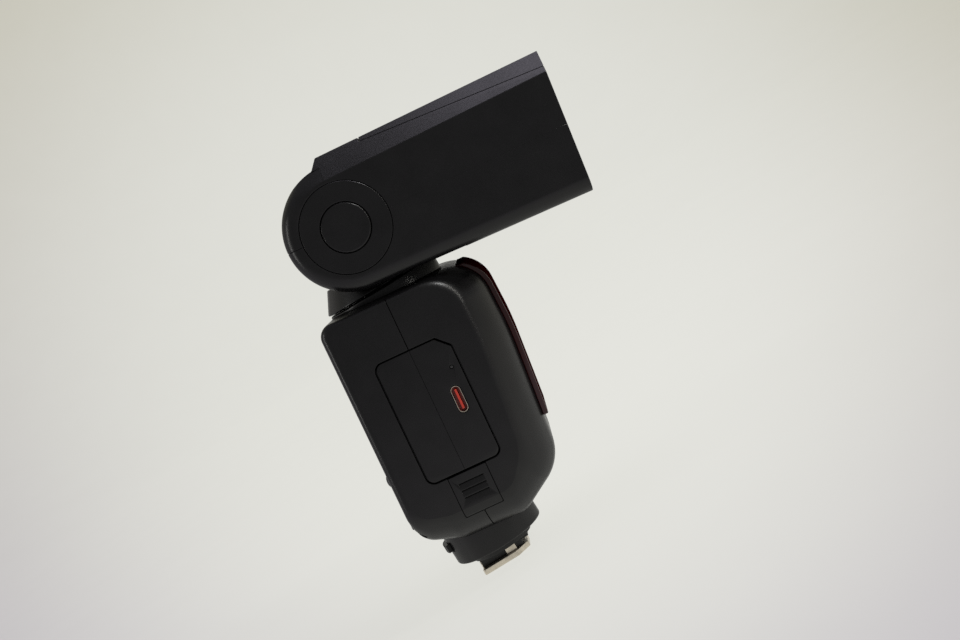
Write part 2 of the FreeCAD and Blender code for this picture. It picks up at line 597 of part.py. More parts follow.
def head_shells():
    solid = head_solid()
    slope = [(COVER_REAR[0], COVER_REAR[1]), (COVER_FRONT[0] + 5, COVER_FRONT[1] - 0.27), (90, 60),
             (COVER_REAR[0], 60)]
    cover_room = sharp(slope, "xz", -50, 50)
    gap_room = sharp([(COVER_REAR[0] - 0.4, COVER_REAR[1] - 0.15), (90, COVER_FRONT[1] - 0.84), (90, 60),
                      (COVER_REAR[0] - 0.4, 60)], "xz", -50, 50)
    slot = block(SLOT[0], 90, -SLOT[1], SLOT[1], SLOT[2], SLOT[3])
    cover = solid.common(cover_room).cut(slot)
    parts["head_top_cover"] = seat_head(cover)

    shell = solid.cut(head_cavities())
    posts = []
    for x, y in HEAD_SCREWS:
        posts.append(rod(2.4, (x, y, UNDERSIDE), (x, y, 16.6)))
    shell = shell.fuse(posts)
    side_cuts = []
    for sign in (-1, 1):
        side_cuts.append(rod(CAP_R + 0.15, (0, sign * 36.4, 0), (0, sign * 50, 0)))
    side_cuts.append(rod(BUTTON_R + 0.3, (0, -50, 0), (0, -30, 0)))
    side_cuts.append(rod(AXLE_R + RUN, (0, -30, 0), (0, 30, 0)))
    for x, y in HEAD_SCREWS:
        side_cuts.append(rod(1.05, (x, y, -30), (x, y, 12)))
        side_cuts.append(rod(2.2, (x, y, -30), (x, y, HEAD_SCREW_SEAT)))
    shell = shell.cut(side_cuts + [slot])
    big = 100
    upper = shell.common(block(-big, big, -big, big, SPLIT_GAP / 2, big)).cut(gap_room)
    lower = shell.common(block(-big, big, -big, big, -big, -SPLIT_GAP / 2))
    parts["head_upper_shell"] = seat_head(upper)
    parts["head_lower_shell"] = seat_head(lower)
    screws = []
    for x, y in HEAD_SCREWS:
        head = rod(2.0, (x, y, UNDERSIDE + 0.2), (x, y, HEAD_SCREW_SEAT))
        screws.append(rod(0.95, (x, y, HEAD_SCREW_SEAT), (x, y, 11)).fuse(head))
    parts["head_screws"] = seat_head(Part.makeCompound(screws))


def head_trim():
    outer = HEAD_HALF - 0.05
    right = ring(CAP_R, BUTTON_R + 0.2, (0, -outer, 0), (0, -36.45, 0))
    left = rod(CAP_R, (0, 36.45, 0), (0, outer, 0))
    left = left.cut(ring(8.45, 7.9, (0, outer - 0.3, 0), (0, outer + 1, 0)))
    parts["right_cap"] = seat_head(right)
    parts["left_cap"] = seat_head(left)
    button = head_rod(BUTTON_R, -outer, -33.0).fuse(head_rod(9.4, -34.7, -33.2))
    parts["lock_button"] = seat_head(button)
    half = [(33.2, -19.8), (35.2, -18.1), (35.2, 0), (34.8, 15.0), (31.8, 17.8)]
    window = half + [(-y, z) for y, z in reversed(half)]
    parts["fresnel_lens"] = seat_head(sharp(window, "yz", LENS[0], LENS[1]))
    frame = sharp(window, "yz", LENS[1] + 0.1, LENS[1] + 1.0)
    parts["lens_bezel"] = seat_head(frame.cut(plate(-32.0, 32.0, -16.8, 14.6, 1.5, "yz", 60, 90)))


def panels():
    """Wide panel and bounce card in their slot."""
    wide = plate(24.0, 77.0, -26.4, 26.4, 2.0, "xy", 20.45, 21.65)
    card = plate(24.0, 76.8, -26.0, 26.0, 2.0, "xy", 21.85, 22.55)
    parts["wide_panel"] = seat_head(wide)
    parts["bounce_card"] = seat_head(card)


def zoom():
    """Reflector carriage on two guide rods, driven by the motor's lead screw."""
    rods = []
    for sign in (-1, 1):
        rods.append(rod(1.5, (22.0, sign * ROD_Y, ROD_Z), (71.5, sign * ROD_Y, ROD_Z)))
    parts["guide_rods"] = seat_head(Part.makeCompound(rods))
    carriage = block(27.0, 30.4, -29.8, 29.8, -16.2, 14.5)
    bushes = [rod(2.6, (27.0, s * ROD_Y, ROD_Z), (36.0, s * ROD_Y, ROD_Z)) for s in (-1, 1)]
    nut = rod(3.0, (24.5, SCREW_Y, SCREW_Z), (30.4, SCREW_Y, SCREW_Z))
    holes = [rod(1.5 + RUN, (20, s * ROD_Y, ROD_Z), (40, s * ROD_Y, ROD_Z)) for s in (-1, 1)]
    holes.append(rod(1.5 + RUN, (20, SCREW_Y, SCREW_Z), (40, SCREW_Y, SCREW_Z)))
    parts["zoom_carriage"] = seat_head(carriage.fuse(bushes + [nut]).cut(holes))
    trough = [(30.45, -4.0), (33.0, -7.6), (38.0, -10.4), (47.0, -12.6)]
    trough += [(47.0, 11.6), (38.0, 9.4), (33.0, 6.6), (30.45, 3.0)]
    inner = [(31.6, -3.2), (34.0, -6.2), (38.6, -9.0), (60.0, -13.4)]
    inner += [(60.0, 12.4), (38.6, 8.0), (34.0, 5.2), (31.6, 2.2)]
    mirror = sharp(trough, "xz", -23.0, 23.0).cut(sharp(inner, "xz", -21.8, 21.8))
    tube_x, tube_z = 34.6, -0.5
    mirror = mirror.cut(rod(2.25, (tube_x, -30, tube_z), (tube_x, 30, tube_z)))
    parts["reflector"] = seat_head(mirror)
    parts["flash_tube"] = seat_head(rod(2.0, (tube_x, -24.5, tube_z), (tube_x, 24.5, tube_z)))
    parts["lead_screw"] = seat_head(rod(1.5, (23.2, SCREW_Y, SCREW_Z), (71.0, SCREW_Y, SCREW_Z)))
    parts["zoom_motor"] = seat_head(rod(5.0, (9.0, SCREW_Y, SCREW_Z), (22.6, SCREW_Y, SCREW_Z)))
    board = block(22.6, 24.0, -18, 18, -14, 14)
    coil = rod(3.0, (24.0, -8, 0), (26.4, -8, 0))
    parts["trigger_board"] = seat_head(board.fuse(coil))


housings()
casing_screws()
front_window()
display()
boards()
battery_bay()
battery()
battery_latch()
buttons()
side_ports()
foot()
swivel()
head_shells()
head_trim()
panels()
zoom()

os.makedirs("parts", exist_ok=True)
for name, shape in parts.items():
    shape.exportStep("parts/%s.step" % name)
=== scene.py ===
import json
import math

import bmesh
import bpy
from mathutils import Matrix, Vector
from mathutils.bvhtree import BVHTree


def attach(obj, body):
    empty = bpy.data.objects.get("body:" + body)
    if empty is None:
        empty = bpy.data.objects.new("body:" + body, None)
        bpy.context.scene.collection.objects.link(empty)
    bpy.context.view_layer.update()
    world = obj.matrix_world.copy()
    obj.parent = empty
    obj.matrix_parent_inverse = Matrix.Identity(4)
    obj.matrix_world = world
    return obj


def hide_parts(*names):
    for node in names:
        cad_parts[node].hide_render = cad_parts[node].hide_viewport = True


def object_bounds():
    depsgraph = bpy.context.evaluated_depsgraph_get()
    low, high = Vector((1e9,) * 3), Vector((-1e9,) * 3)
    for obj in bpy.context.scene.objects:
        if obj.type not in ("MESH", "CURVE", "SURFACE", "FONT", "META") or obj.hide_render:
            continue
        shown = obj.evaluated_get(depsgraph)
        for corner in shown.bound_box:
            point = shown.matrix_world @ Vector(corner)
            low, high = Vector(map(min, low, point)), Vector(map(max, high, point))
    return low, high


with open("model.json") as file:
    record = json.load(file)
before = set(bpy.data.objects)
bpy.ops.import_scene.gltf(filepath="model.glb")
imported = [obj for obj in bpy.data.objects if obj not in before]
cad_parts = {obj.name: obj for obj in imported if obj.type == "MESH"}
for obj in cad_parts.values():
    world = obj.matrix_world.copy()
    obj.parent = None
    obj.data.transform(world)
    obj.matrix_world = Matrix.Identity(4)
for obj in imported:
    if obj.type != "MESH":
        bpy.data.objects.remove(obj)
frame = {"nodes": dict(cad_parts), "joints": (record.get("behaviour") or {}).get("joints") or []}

cad_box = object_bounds()

# The looks of a speedlight flash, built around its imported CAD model. The casing, head, neck, foot and
# controls are made again here as fine meshes, in the same places, with finer edges and surface detail.
# Pieces are drawn in millimetres in one of three frames, then scaled to metres:
#   UPRIGHT  the model's own frame, for the foot and the neck
#   CASING   leans forward over the foot
#   HEAD     the tilt axle at its origin, the beam along +X


def joint_place(name):
    """A joint's point in the model's frame, in metres."""
    return Vector(next(j for j in frame["joints"] if j["name"] == name)["pos_m"])


MM = 0.001
LEAN = math.radians(7.0)
UPRIGHT = Matrix.Identity(4)
CASING = Matrix.Rotation(LEAN, 4, "Y")
HEAD = Matrix.Translation(joint_place("tilt")) @ CASING

PIVOT_X, PIVOT_Z = joint_place("tilt").x / MM, joint_place("tilt").z / MM
PAN_X, PAN_Z = joint_place("swivel").x / MM, joint_place("swivel").z / MM
COLLAR_X = joint_place("lock_lever_turn").x / MM
DIAL_Z = (CASING.inverted() @ joint_place("dial_turn")).z / MM

# ---------------------------------------------------------------- driving dimensions, in millimetres
CASE_BACK = -21.6
CASE_TOP = 100.2
CASE_BOTTOM = 16.3
CASE_HALF = 36.5
CASE_FLAT_HALF = 16.0
WALL = 2.0
SEAM_X = 2.6
SEAM_GAP = 0.18
FRONT_WRAP_R = 26.9
BOTTOM_FLAT_HALF = 18.5
BOTTOM_WRAP_R = 19.5
FRONT_R = 1.0
BACK_R = 3.0
TOP_R = 2.2

LCD = (-24.8, 24.8, 61.0, 91.6)
FUNCTION_Y = (-19.5, -6.5, 6.5, 19.5)
FUNCTION_Z = 55.4
FUNCTION_SIZE = (10.0, 4.2)
DIAL_R = 13.0
SET_R = 5.9
SMALL_BUTTON_Y = 26.5
SMALL_BUTTON_Z = 45.0
SMALL_BUTTON_R = 2.1
LOWER_Z = 29.6
TEST_Y = 23.5
TEST_R = 3.2
SWITCH_Y = -24.5
BUTTON_GAP = 0.2
SCREWS = ((-30.5, 94.2), (30.5, 94.2), (-28.5, 25.6), (28.5, 25.6))

DOOR = (-9.8, 15.4, 39.85, 81.85)
DOOR_GAP = 0.45
LATCH = (-3.75, 9.35, 25.1, 39.2)
LATCH_SLOPE = (0.866, -0.5)
LATCH_TRAVEL = 2.2
LATCH_Y = -34.6
LATCH_LEAD = 2.6
LATCH_REACH = 3.0
USB_X, USB_Z = 10.6, 61.2
LAMP_X, LAMP_Z = 12.7, 71.6
PORTS = (17.8, 24.0, 52.0, 80.0)
PORT_HINGE_R = 0.65

COLLAR_R = 16.5
COLLAR_Z = 6.9
LEVER_Z = (12.6, 15.4)
LOCK_PIN_X = 6.4
FOOT_HALF_X = 9.0
FOOT_HALF_Y = 9.3
FOOT_T = 1.9
PINS = ((0.0, 0.0, 1.0), (-4.6, -2.9, 0.7), (-4.6, 2.9, 0.7), (-1.6, -3.9, 0.7), (-1.6, 3.9, 0.7))

HEAD_HALF = 38.0
HEAD_R = 20.7
HEAD_EDGE = 5.0
HEAD_REAR = (-30.0, 23.9, -20.0625, 15.4)  # x, top, underside and shoulder of a section of the head
HEAD_MOUTH = (80.0, 25.2, -22.4, 17.5)  # the same at the other end of its taper
SHOULDER_INSET = 0.45
AXLE_SHOULDER = 15.9727  # the taper's shoulder, above the axle
AXLE_CHAMFER_HALF = 33.3546  # how far from the middle its chamfer is as high as the round back
HEAD_SEAM_GAP = 0.03
CAP_R = 14.7
BUTTON_R = 8.0
CHEEK_HALF = 18.25
BARREL_R = 18.6
BARREL_HALF = 17.6
COVER_REAR = (15.1, 22.9)
COVER_FRONT = (77.05, 19.5)
SLOT = (18.0, 27.2, 20.3, 22.8)
LENS = (71.8, 74.2)
HEAD_SCREWS = ((14.0, -33.0), (14.0, 33.0))
HEAD_SCREW_SEAT = -18.9
UNDERSIDE = -20.0
SHOULDER_HALF = 30.2

ARC_STEPS = 10  # steps round each corner of an outline
SIDES = 96  # steps round a full circle


# ---------------------------------------------------------------- mesh helpers
def solid(bm):
    """A new object from a bmesh, with its faces turned outwards."""
    bmesh.ops.recalc_face_normals(bm, faces=bm.faces)
    mesh = bpy.data.meshes.new("solid")
    bm.to_mesh(mesh)
    bm.free()
    obj = bpy.data.objects.new("solid", mesh)
    bpy.context.scene.collection.objects.link(obj)
    return obj


def at(plane, u, v, w):
    """A point from two in-plane values and a level along the third axis."""
    if plane == "xz":
        return (u, w, v)
    if plane == "xy":
        return (u, v, w)
    return (w, u, v)


def rounded(corners, steps=ARC_STEPS):
    """Closed outline of points through corners (u, v, radius), each rounded by its radius."""
    points = []
    count = len(corners)
    for i, (u, v, radius) in enumerate(corners):
        here = Vector((u, v))
        if radius <= 0:
            points.append(here)
            continue
        before = (Vector(corners[i - 1][:2]) - here).normalized()
        after = (Vector(corners[(i + 1) % count][:2]) - here).normalized()
        half = before.angle(after) / 2
        inward = (before + after).normalized()
        centre = here + inward * (radius / math.sin(half))
        start = here + before * (radius / math.tan(half)) - centre
        turn = math.pi - 2 * half
        if before.x * after.y - before.y * after.x > 0:
            turn = -turn
        for k in range(steps + 1):
            points.append(centre + Matrix.Rotation(turn * k / steps, 2) @ start)
    return points


def loft(rings):
    """Closed solid through rings of points, each with as many points as the next."""
    bm = bmesh.new()
    rows = [[bm.verts.new(p) for p in ring] for ring in rings]
    count = len(rows[0])
    for row, following in zip(rows, rows[1:]):
        for i in range(count):
            j = (i + 1) % count
            bm.faces.new((row[i], row[j], following[j], following[i]))
    bm.faces.new(rows[0])
    bm.faces.new(rows[-1])
    return solid(bm)


def slab(corners, plane, low, high, steps=ARC_STEPS):
    """Solid between two levels, with a rounded outline."""
    points = rounded(corners, steps)
    return loft([[at(plane, p.x, p.y, level) for p in points] for level in (low, high)])


def sharp(points, plane, low, high):
    return slab([(u, v, 0) for u, v in points], plane, low, high)


def plate(u0, u1, v0, v1, radius, plane, low, high):
    """Rounded rectangle between two levels."""
    return slab([(u0, v0, radius), (u1, v0, radius), (u1, v1, radius), (u0, v1, radius)], plane, low, high)


def pad(u, v, half_u, half_v, radius, plane, low, high):
    """Rounded rectangle about a middle point, between two levels."""
    return plate(u - half_u, u + half_u, v - half_v, v + half_v, radius, plane, low, high)


def block(x0, x1, y0, y1, z0, z1):
    return sharp([(x0, y0), (x1, y0), (x1, y1), (x0, y1)], "xy", z0, z1)


def lathe(profile, start, axis, sides=SIDES):
    """Solid of revolution. The profile is (radius, height) along the axis; its ends close on the axis."""
    axis = Vector(axis).normalized()
    turn = axis.to_track_quat("Z", "Y").to_matrix()
    rings = []
    for radius, height in profile:
        ring = []
        for k in range(sides):
            angle = 2 * math.pi * k / sides
            local = Vector((radius * math.cos(angle), radius * math.sin(angle), height))
            ring.append(Vector(start) + turn @ local)
        rings.append(ring)
    return loft(rings)


def rod(radius, start, end, sides=SIDES):
    axis = Vector(end) - Vector(start)
    return lathe([(radius, 0), (radius, axis.length)], start, axis, sides)


def x_rod(radius, y, z, start, end, sides=SIDES):
    return rod(radius, (start, y, z), (end, y, z), sides)


def z_rod(radius, x, y, start, end, sides=SIDES):
    return rod(radius, (x, y, start), (x, y, end), sides)


def round_rims(radius, low, high, edge, steps=4):
    """Profile of a rod whose two rims are rounded."""
    if edge <= 0:
        return [(radius, low), (radius, high)]
    quarter = [math.pi / 2 * k / steps for k in range(steps + 1)]
    lower = [(radius - edge + edge * math.sin(a), low + edge - edge * math.cos(a)) for a in quarter]
    upper = [(radius - edge + edge * math.cos(a), high - edge + edge * math.sin(a)) for a in quarter]
    return lower + upper


def puck(radius, start, end, edge):
    """Rod with rounded rims."""
    axis = Vector(end) - Vector(start)
    return lathe(round_rims(radius, 0, axis.length, edge), start, axis)


def clone(obj):
    copy = obj.copy()
    copy.data = obj.data.copy()
    bpy.context.scene.collection.objects.link(copy)
    return copy


def mirrored(obj):
    """Copy of a solid on the other side of the middle plane."""
    copy = clone(obj)
    copy.data.transform(Matrix.Diagonal((1, -1, 1, 1)))
    copy.data.flip_normals()
    return copy


def both_sides(obj):
    return [obj, mirrored(obj)]


def moved(obj, matrix):
    obj.data.transform(matrix)
    return obj


def combine(obj, tools, operation):
    """Boolean of obj with each tool. The tools are used up."""
    tools = tools if isinstance(tools, (list, tuple)) else [tools]
    for tool in tools:
        modifier = obj.modifiers.new("boolean", "BOOLEAN")
        modifier.operation = operation
        modifier.solver = "MANIFOLD"
        modifier.object = tool
    graph = bpy.context.evaluated_depsgraph_get()
    result = bpy.data.meshes.new_from_object(obj.evaluated_get(graph))
    obj.modifiers.clear()
    obj.data = result
    for tool in tools:
        bpy.data.objects.remove(tool)
    return obj


def cut(obj, tools):
    return combine(obj, tools, "DIFFERENCE")


def fuse(obj, tools):
    return combine(obj, tools, "UNION")


def common(obj, tools):
    return combine(obj, tools, "INTERSECT")


def soften(obj, width, angle=32.0, segments=2, skip=None):
    """Rounds every edge sharper than angle, unless skip says so of its middle, and tidies the mesh.
    A corner that the rounding throws clear of the surface is put back on it."""
    bm = bmesh.new()
    bm.from_mesh(obj.data)
    bmesh.ops.remove_doubles(bm, verts=bm.verts, dist=0.003)
    bmesh.ops.dissolve_limit(bm, angle_limit=math.radians(0.4), verts=bm.verts, edges=bm.edges)
    edges = [e for e in bm.edges if len(e.link_faces) == 2 and e.calc_face_angle() > math.radians(angle)]
    if skip is not None:
        edges = [e for e in edges if not skip((e.verts[0].co + e.verts[1].co) / 2)]
    if width > 0 and edges:
        surface = BVHTree.FromBMesh(bm)
        bmesh.ops.bevel(bm, geom=edges, offset=width, offset_type="OFFSET", segments=segments,
                        profile=0.5, affect="EDGES", clamp_overlap=False)
        for vert in bm.verts:
            nearest, _, _, distance = surface.find_nearest(vert.co)
            if distance > width / 2:
                vert.co = nearest
    bmesh.ops.triangulate(bm, faces=[f for f in bm.faces if len(f.verts) > 4])
    bm.to_mesh(obj.data)
    bm.free()
    return obj


def finish_piece(obj, name, place, body, material, replaces=(), edge=0.2, skip=None):
    """Names a solid, rounds its edges, puts it in its frame, gives it its body and material, and hides the
    CAD pieces it replaces.
    """
    soften(obj, edge, skip=skip)
    obj.name = name
    obj.data.name = name
    obj.data.transform(place @ Matrix.Scale(MM, 4))
    obj.data.materials.clear()
    obj.data.materials.append(material)
    obj.data.shade_smooth()
    obj.data.set_sharp_from_angle(angle=math.radians(40))
    weighted = obj.modifiers.new("normals", "WEIGHTED_NORMAL")
    weighted.keep_sharp = True
    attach(obj, body)
    for node in replaces:
        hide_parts(node)
    return obj


# ---------------------------------------------------------------- materials
def new_material(name):
    material = bpy.data.materials.new(name)
    material.use_nodes = True
    material.node_tree.nodes.clear()
    return material, material.node_tree


def node(tree, kind, inputs=(), **settings):
    """A shader node. Each input is a value, or another node's socket to link from."""
    made = tree.nodes.new("ShaderNode" + kind)
    for key, value in settings.items():
        setattr(made, key, value)
    for socket, value in dict(inputs).items():
        if isinstance(value, bpy.types.NodeSocket):
            tree.links.new(value, made.inputs[socket])
        else:
            made.inputs[socket].default_value = value
    return made


def noise(tree, size_mm, detail=3.0, roughness=0.55, stretch=(1, 1, 1)):
    """Noise with features of about size_mm, between 0 and 1 and mostly near 0.5."""
    place = node(tree, "TexCoord").outputs["Object"]
    spread = node(tree, "Mapping", {"Vector": place, "Scale": stretch})
    texture = node(tree, "TexNoise", {
        "Vector": spread.outputs["Vector"], "Scale": 1.0 / (size_mm * MM), "Detail": detail,
        "Roughness": roughness})
    return texture.outputs["Fac"]


def ramp(tree, factor, low, high, start=0.35, end=0.65, shape="LINEAR"):
    """Remaps factor from start..end to low..high, both numbers."""
    made = node(tree, "MapRange", {
        "Value": factor, "From Min": start, "From Max": end, "To Min": low, "To Max": high},
        interpolation_type=shape)
    return made.outputs["Result"]


def math_node(tree, operation, first, second):
    return node(tree, "Math", {0: first, 1: second}, operation=operation).outputs["Value"]


def mix(tree, factor, first, second):
    """Blend of two colours. A mix node keeps its colours in sockets 6 and 7, and its result in 2."""
    return node(tree, "Mix", {0: factor, 6: first, 7: second}, data_type="RGBA").outputs[2]


def colour(r, g, b):
    return (r, g, b, 1.0)


def scaled(base, factor, lift=0.0):
    """A colour made lighter or darker, and never past white."""
    return colour(*(min(1.0, c * factor + lift) for c in base))


def edge_mask(tree, radius_mm):
    """1 on sharp edges and 0 on flat faces, for wear."""
    bevel = node(tree, "Bevel", {"Radius": radius_mm * MM}, samples=4)
    flat = node(tree, "NewGeometry").outputs["Normal"]
    match = node(tree, "VectorMath", {0: bevel.outputs["Normal"], 1: flat}, operation="DOT_PRODUCT")
    return ramp(tree, match.outputs["Value"], 1.0, 0.0, 0.80, 0.97)


def specks(tree, spacing_mm, size):
    """Sparse small dots, as dust or fine scratches leave."""
    place = node(tree, "TexCoord").outputs["Object"]
    cells = node(tree, "TexVoronoi", {"Vector": place, "Scale": 1.0 / (spacing_mm * MM)})
    dots = ramp(tree, cells.outputs["Distance"], 1.0, 0.0, size * 0.6, size)
    some = ramp(tree, noise(tree, spacing_mm * 2.3, 1.0), 0.0, 1.0, 0.56, 0.62)
    return math_node(tree, "MULTIPLY", dots, some)


def bump(tree, height, depth_mm, normal=None):
    inputs = {"Height": height, "Distance": depth_mm * MM, "Strength": 1.0}
    if normal is not None:
        inputs["Normal"] = normal
    return node(tree, "Bump", inputs).outputs["Normal"]


def fading(tree, level, least, start, end):
    """Falls from level to least as the surface turns away from the eye, as gloss does on a fine grain."""
    away = node(tree, "LayerWeight", {"Blend": 0.5}).outputs["Facing"]
    return ramp(tree, away, level, least, start, end)


def principled(tree, **inputs):
    names = {key.replace("_", " "): value for key, value in inputs.items()}
    shader = node(tree, "BsdfPrincipled", names)
    node(tree, "OutputMaterial", {"Surface": shader.outputs["BSDF"]})
    return shader


def moulded(name, base, rough, grain_mm=0.28, depth_mm=0.010, wear=0.22, dust=0.04, shine=0.32, spread=0.2):
    """Moulded plastic with a spark-eroded grain, mottled gloss, rubbed edges and a little dust."""
    material, tree = new_material(name)
    mottle = ramp(tree, noise(tree, 9.0, 4.0), 0.0, 1.0)
    tone = mix(tree, mottle, scaled(base, 1 - spread), scaled(base, 1 + spread))
    worn = math_node(tree, "MULTIPLY", edge_mask(tree, 0.35), wear)
    tone = mix(tree, worn, tone, scaled(base, 2.6, 0.004))
    dots = math_node(tree, "MULTIPLY", specks(tree, 2.2, 0.07), dust)
    tone = mix(tree, dots, tone, colour(0.22, 0.21, 0.2))
    patches = ramp(tree, noise(tree, 14.0, 3.0), rough - 0.02, rough + 0.03, 0.3, 0.7)
    fine = ramp(tree, noise(tree, grain_mm * 2, 2.0), -0.04, 0.04)
    gloss = math_node(tree, "ADD", patches, fine)
    gloss = math_node(tree, "SUBTRACT", gloss, ramp(tree, worn, 0.0, 0.12, 0.0, 1.0))
    grain = bump(tree, noise(tree, grain_mm, 2.5, 0.6), depth_mm)
    wavy = bump(tree, noise(tree, 12.0, 1.0), 0.03, grain)
    principled(tree, Base_Color=tone, Roughness=gloss, Normal=wavy,
               Specular_IOR_Level=fading(tree, shine, shine * 0.12, 0.30, 0.72))
    return material


def rubbery(name, base, rough=0.62):
    """Soft-touch rubber: fine pores, a dusty bloom and slightly polished edges."""
    material, tree = new_material(name)
    bloom = ramp(tree, noise(tree, 3.5, 4.0), 0.0, 1.0)
    tone = mix(tree, bloom, colour(*base), scaled(base, 1.35))
    tone = mix(tree, edge_mask(tree, 0.25), tone, scaled(base, 1.9))
    pores = bump(tree, noise(tree, 0.16, 2.0), 0.015)
    gloss = ramp(tree, noise(tree, 2.5, 3.0), rough - 0.07, rough + 0.07)
    principled(tree, Base_Color=tone, Roughness=gloss, Normal=pores, Sheen_Weight=0.12,
               Sheen_Roughness=0.5)
    return material


def metal(name, base, rough, stretch=(1, 1, 1), depth_mm=0.006):
    """Metal with fine streaks along the axis that stretch leaves long, and a light tarnish."""
    material, tree = new_material(name)
    streaks = noise(tree, 0.18, 3.0, 0.6, stretch)
    stain = ramp(tree, noise(tree, 4.0, 4.0), 0.0, 1.0, 0.45, 0.75)
    tone = mix(tree, stain, colour(*base), scaled(base, 0.6))
    gloss = ramp(tree, streaks, rough - 0.07, rough + 0.12)
    principled(tree, Base_Color=tone, Metallic=1.0, Roughness=gloss, Normal=bump(tree, streaks, depth_mm))
    return material


def gloss_plastic(name, base, rough=0.12, transmission=0.0, coat=0.6, shine=0.5):
    """Polished plastic with faint moulding waves, smudges and hairline scratches."""
    material, tree = new_material(name)
    smudge = ramp(tree, noise(tree, 6.0, 4.0), rough * 0.94, rough * 1.2, 0.4, 0.7)
    hairs = noise(tree, 0.5, 2.0, 0.5, (0.08, 1, 1))
    waves = bump(tree, noise(tree, 10.0, 1.0), 0.01)
    tone = mix(tree, ramp(tree, noise(tree, 12.0, 2.0), 0.0, 1.0), scaled(base, 0.94), scaled(base, 1.06))
    principled(tree, Base_Color=tone, Roughness=smudge, Transmission_Weight=transmission, IOR=1.49,
               Coat_Weight=coat, Coat_Roughness=0.05,
               Specular_IOR_Level=fading(tree, shine, 0.0, 0.70, 0.90),
               Normal=bump(tree, hairs, 0.0015, waves))
    return material


def clear_plastic(name, tint, rough=0.04):
    """Clear moulded plastic with a slight tint, flow waves and smudges."""
    material, tree = new_material(name)
    gloss = ramp(tree, noise(tree, 5.0, 4.0), rough * 0.8, rough * 1.3)
    tone = mix(tree, ramp(tree, noise(tree, 8.0, 2.0), 0.0, 1.0), colour(*tint), scaled(tint, 1.04))
    principled(tree, Base_Color=tone, Roughness=gloss, Transmission_Weight=1.0, IOR=1.49,
               Normal=bump(tree, noise(tree, 7.0, 1.0), 0.008))
    return material


def circuit_board(name):
    """Green solder mask with fine copper tracks showing through."""
    material, tree = new_material(name)
    place = node(tree, "TexCoord").outputs["Object"]
    cells = node(tree, "TexVoronoi", {"Vector": place, "Scale": 1.0 / (1.6 * MM)},
                 distance="MANHATTAN", feature="F1")
    tracks = ramp(tree, cells.outputs["Distance"], 0.0, 1.0, 0.42, 0.5)
    tone = mix(tree, tracks, colour(0.012, 0.09, 0.04), colour(0.03, 0.2, 0.09))
    gloss = ramp(tree, noise(tree, 2.0, 3.0), 0.25, 0.45)
    principled(tree, Base_Color=tone, Roughness=gloss, Normal=bump(tree, tracks, 0.03))
    return material


SHELL = moulded("black_moulded_plastic", (0.0046, 0.0044, 0.0048), 0.28, shine=0.34)
TRIM = moulded("black_satin_plastic", (0.0060, 0.0060, 0.0062), 0.32, 0.2, 0.008, 0.3, shine=0.36)
RUBBER = rubbery("black_rubber", (0.011, 0.011, 0.0115))
KEY = rubbery("key_rubber", (0.02, 0.02, 0.021), 0.55)
RED_WINDOW = gloss_plastic("dark_red_window", (0.022, 0.0008, 0.0010), 0.11, 0.0, 0.0, 0.5)
DISPLAY_GLASS = clear_plastic("display_glass", (0.72, 0.75, 0.76), 0.03)
DISPLAY_MASK = moulded("display_mask", (0.004, 0.004, 0.0045), 0.55, 0.4, 0.002, 0.0, 0.0, 0.2, 0.05)
DISPLAY_FACE = moulded("display_face", (0.034, 0.042, 0.038), 0.55, 0.4, 0.002, 0.0, 0.0, 0.2, 0.03)
LENS_CLEAR = clear_plastic("lens_clear", (0.93, 0.95, 0.96), 0.05)
PANEL_CLEAR = clear_plastic("panel_clear", (0.88, 0.91, 0.92), 0.12)
WHITE = moulded("white_card", (0.72, 0.72, 0.70), 0.5, 0.4, 0.006, 0.0, 0.02, spread=0.02)
NICKEL = metal("nickel_plate", (0.66, 0.60, 0.50), 0.27, (1, 0.05, 1), 0.004)
STEEL = metal("steel", (0.5, 0.5, 0.51), 0.3, (0.05, 1, 1))
DARK_STEEL = metal("blackened_screw", (0.12, 0.12, 0.125), 0.38)
BRASS = metal("plated_brass", (0.82, 0.6, 0.28), 0.22, (1, 1, 0.1))
MIRROR = metal("mirror_aluminium", (0.9, 0.9, 0.91), 0.09, (1, 0.04, 1), 0.002)
BOARD = circuit_board("circuit_board")
CAN = gloss_plastic("capacitor_sleeve", (0.02, 0.02, 0.045), 0.3)
CELL = gloss_plastic("cell_sleeve", (0.03, 0.16, 0.32), 0.3)
USB_RED = gloss_plastic("usb_tongue", (0.52, 0.035, 0.016), 0.3, 0.0, 0.3)
USB_DEEP_RED = gloss_plastic("usb_insert", (0.20, 0.010, 0.007), 0.35, 0.0, 0.2)
LAMP = gloss_plastic("frosted_lamp", (0.62, 0.64, 0.6), 0.35, 0.4)
# Painted shade: the charge lamp's lens is near black to stand for the shade in the small hole it sits in.
HOLE_SHADE_LAMP = gloss_plastic("lamp_painted_hole_shade", (0.02, 0.02, 0.02), 0.2, 0.3)
TUBE_GLASS = clear_plastic("tube_glass", (0.95, 0.95, 0.93), 0.08)
TEST_RED = gloss_plastic("test_button", (0.30, 0.012, 0.01), 0.25, 0.2)
MARK = moulded("pale_marking", (0.45, 0.45, 0.44), 0.5, 0.3, 0.004, 0.0, 0.0, spread=0.05)


# ---------------------------------------------------------------- casing, in the casing frame
def fall(half_width, start, radius):
    """How far a round edge that begins at start has fallen in at half_width."""
    run = max(0.0, half_width - start)
    return radius - math.sqrt(max(0.0, radius * radius - run * run))


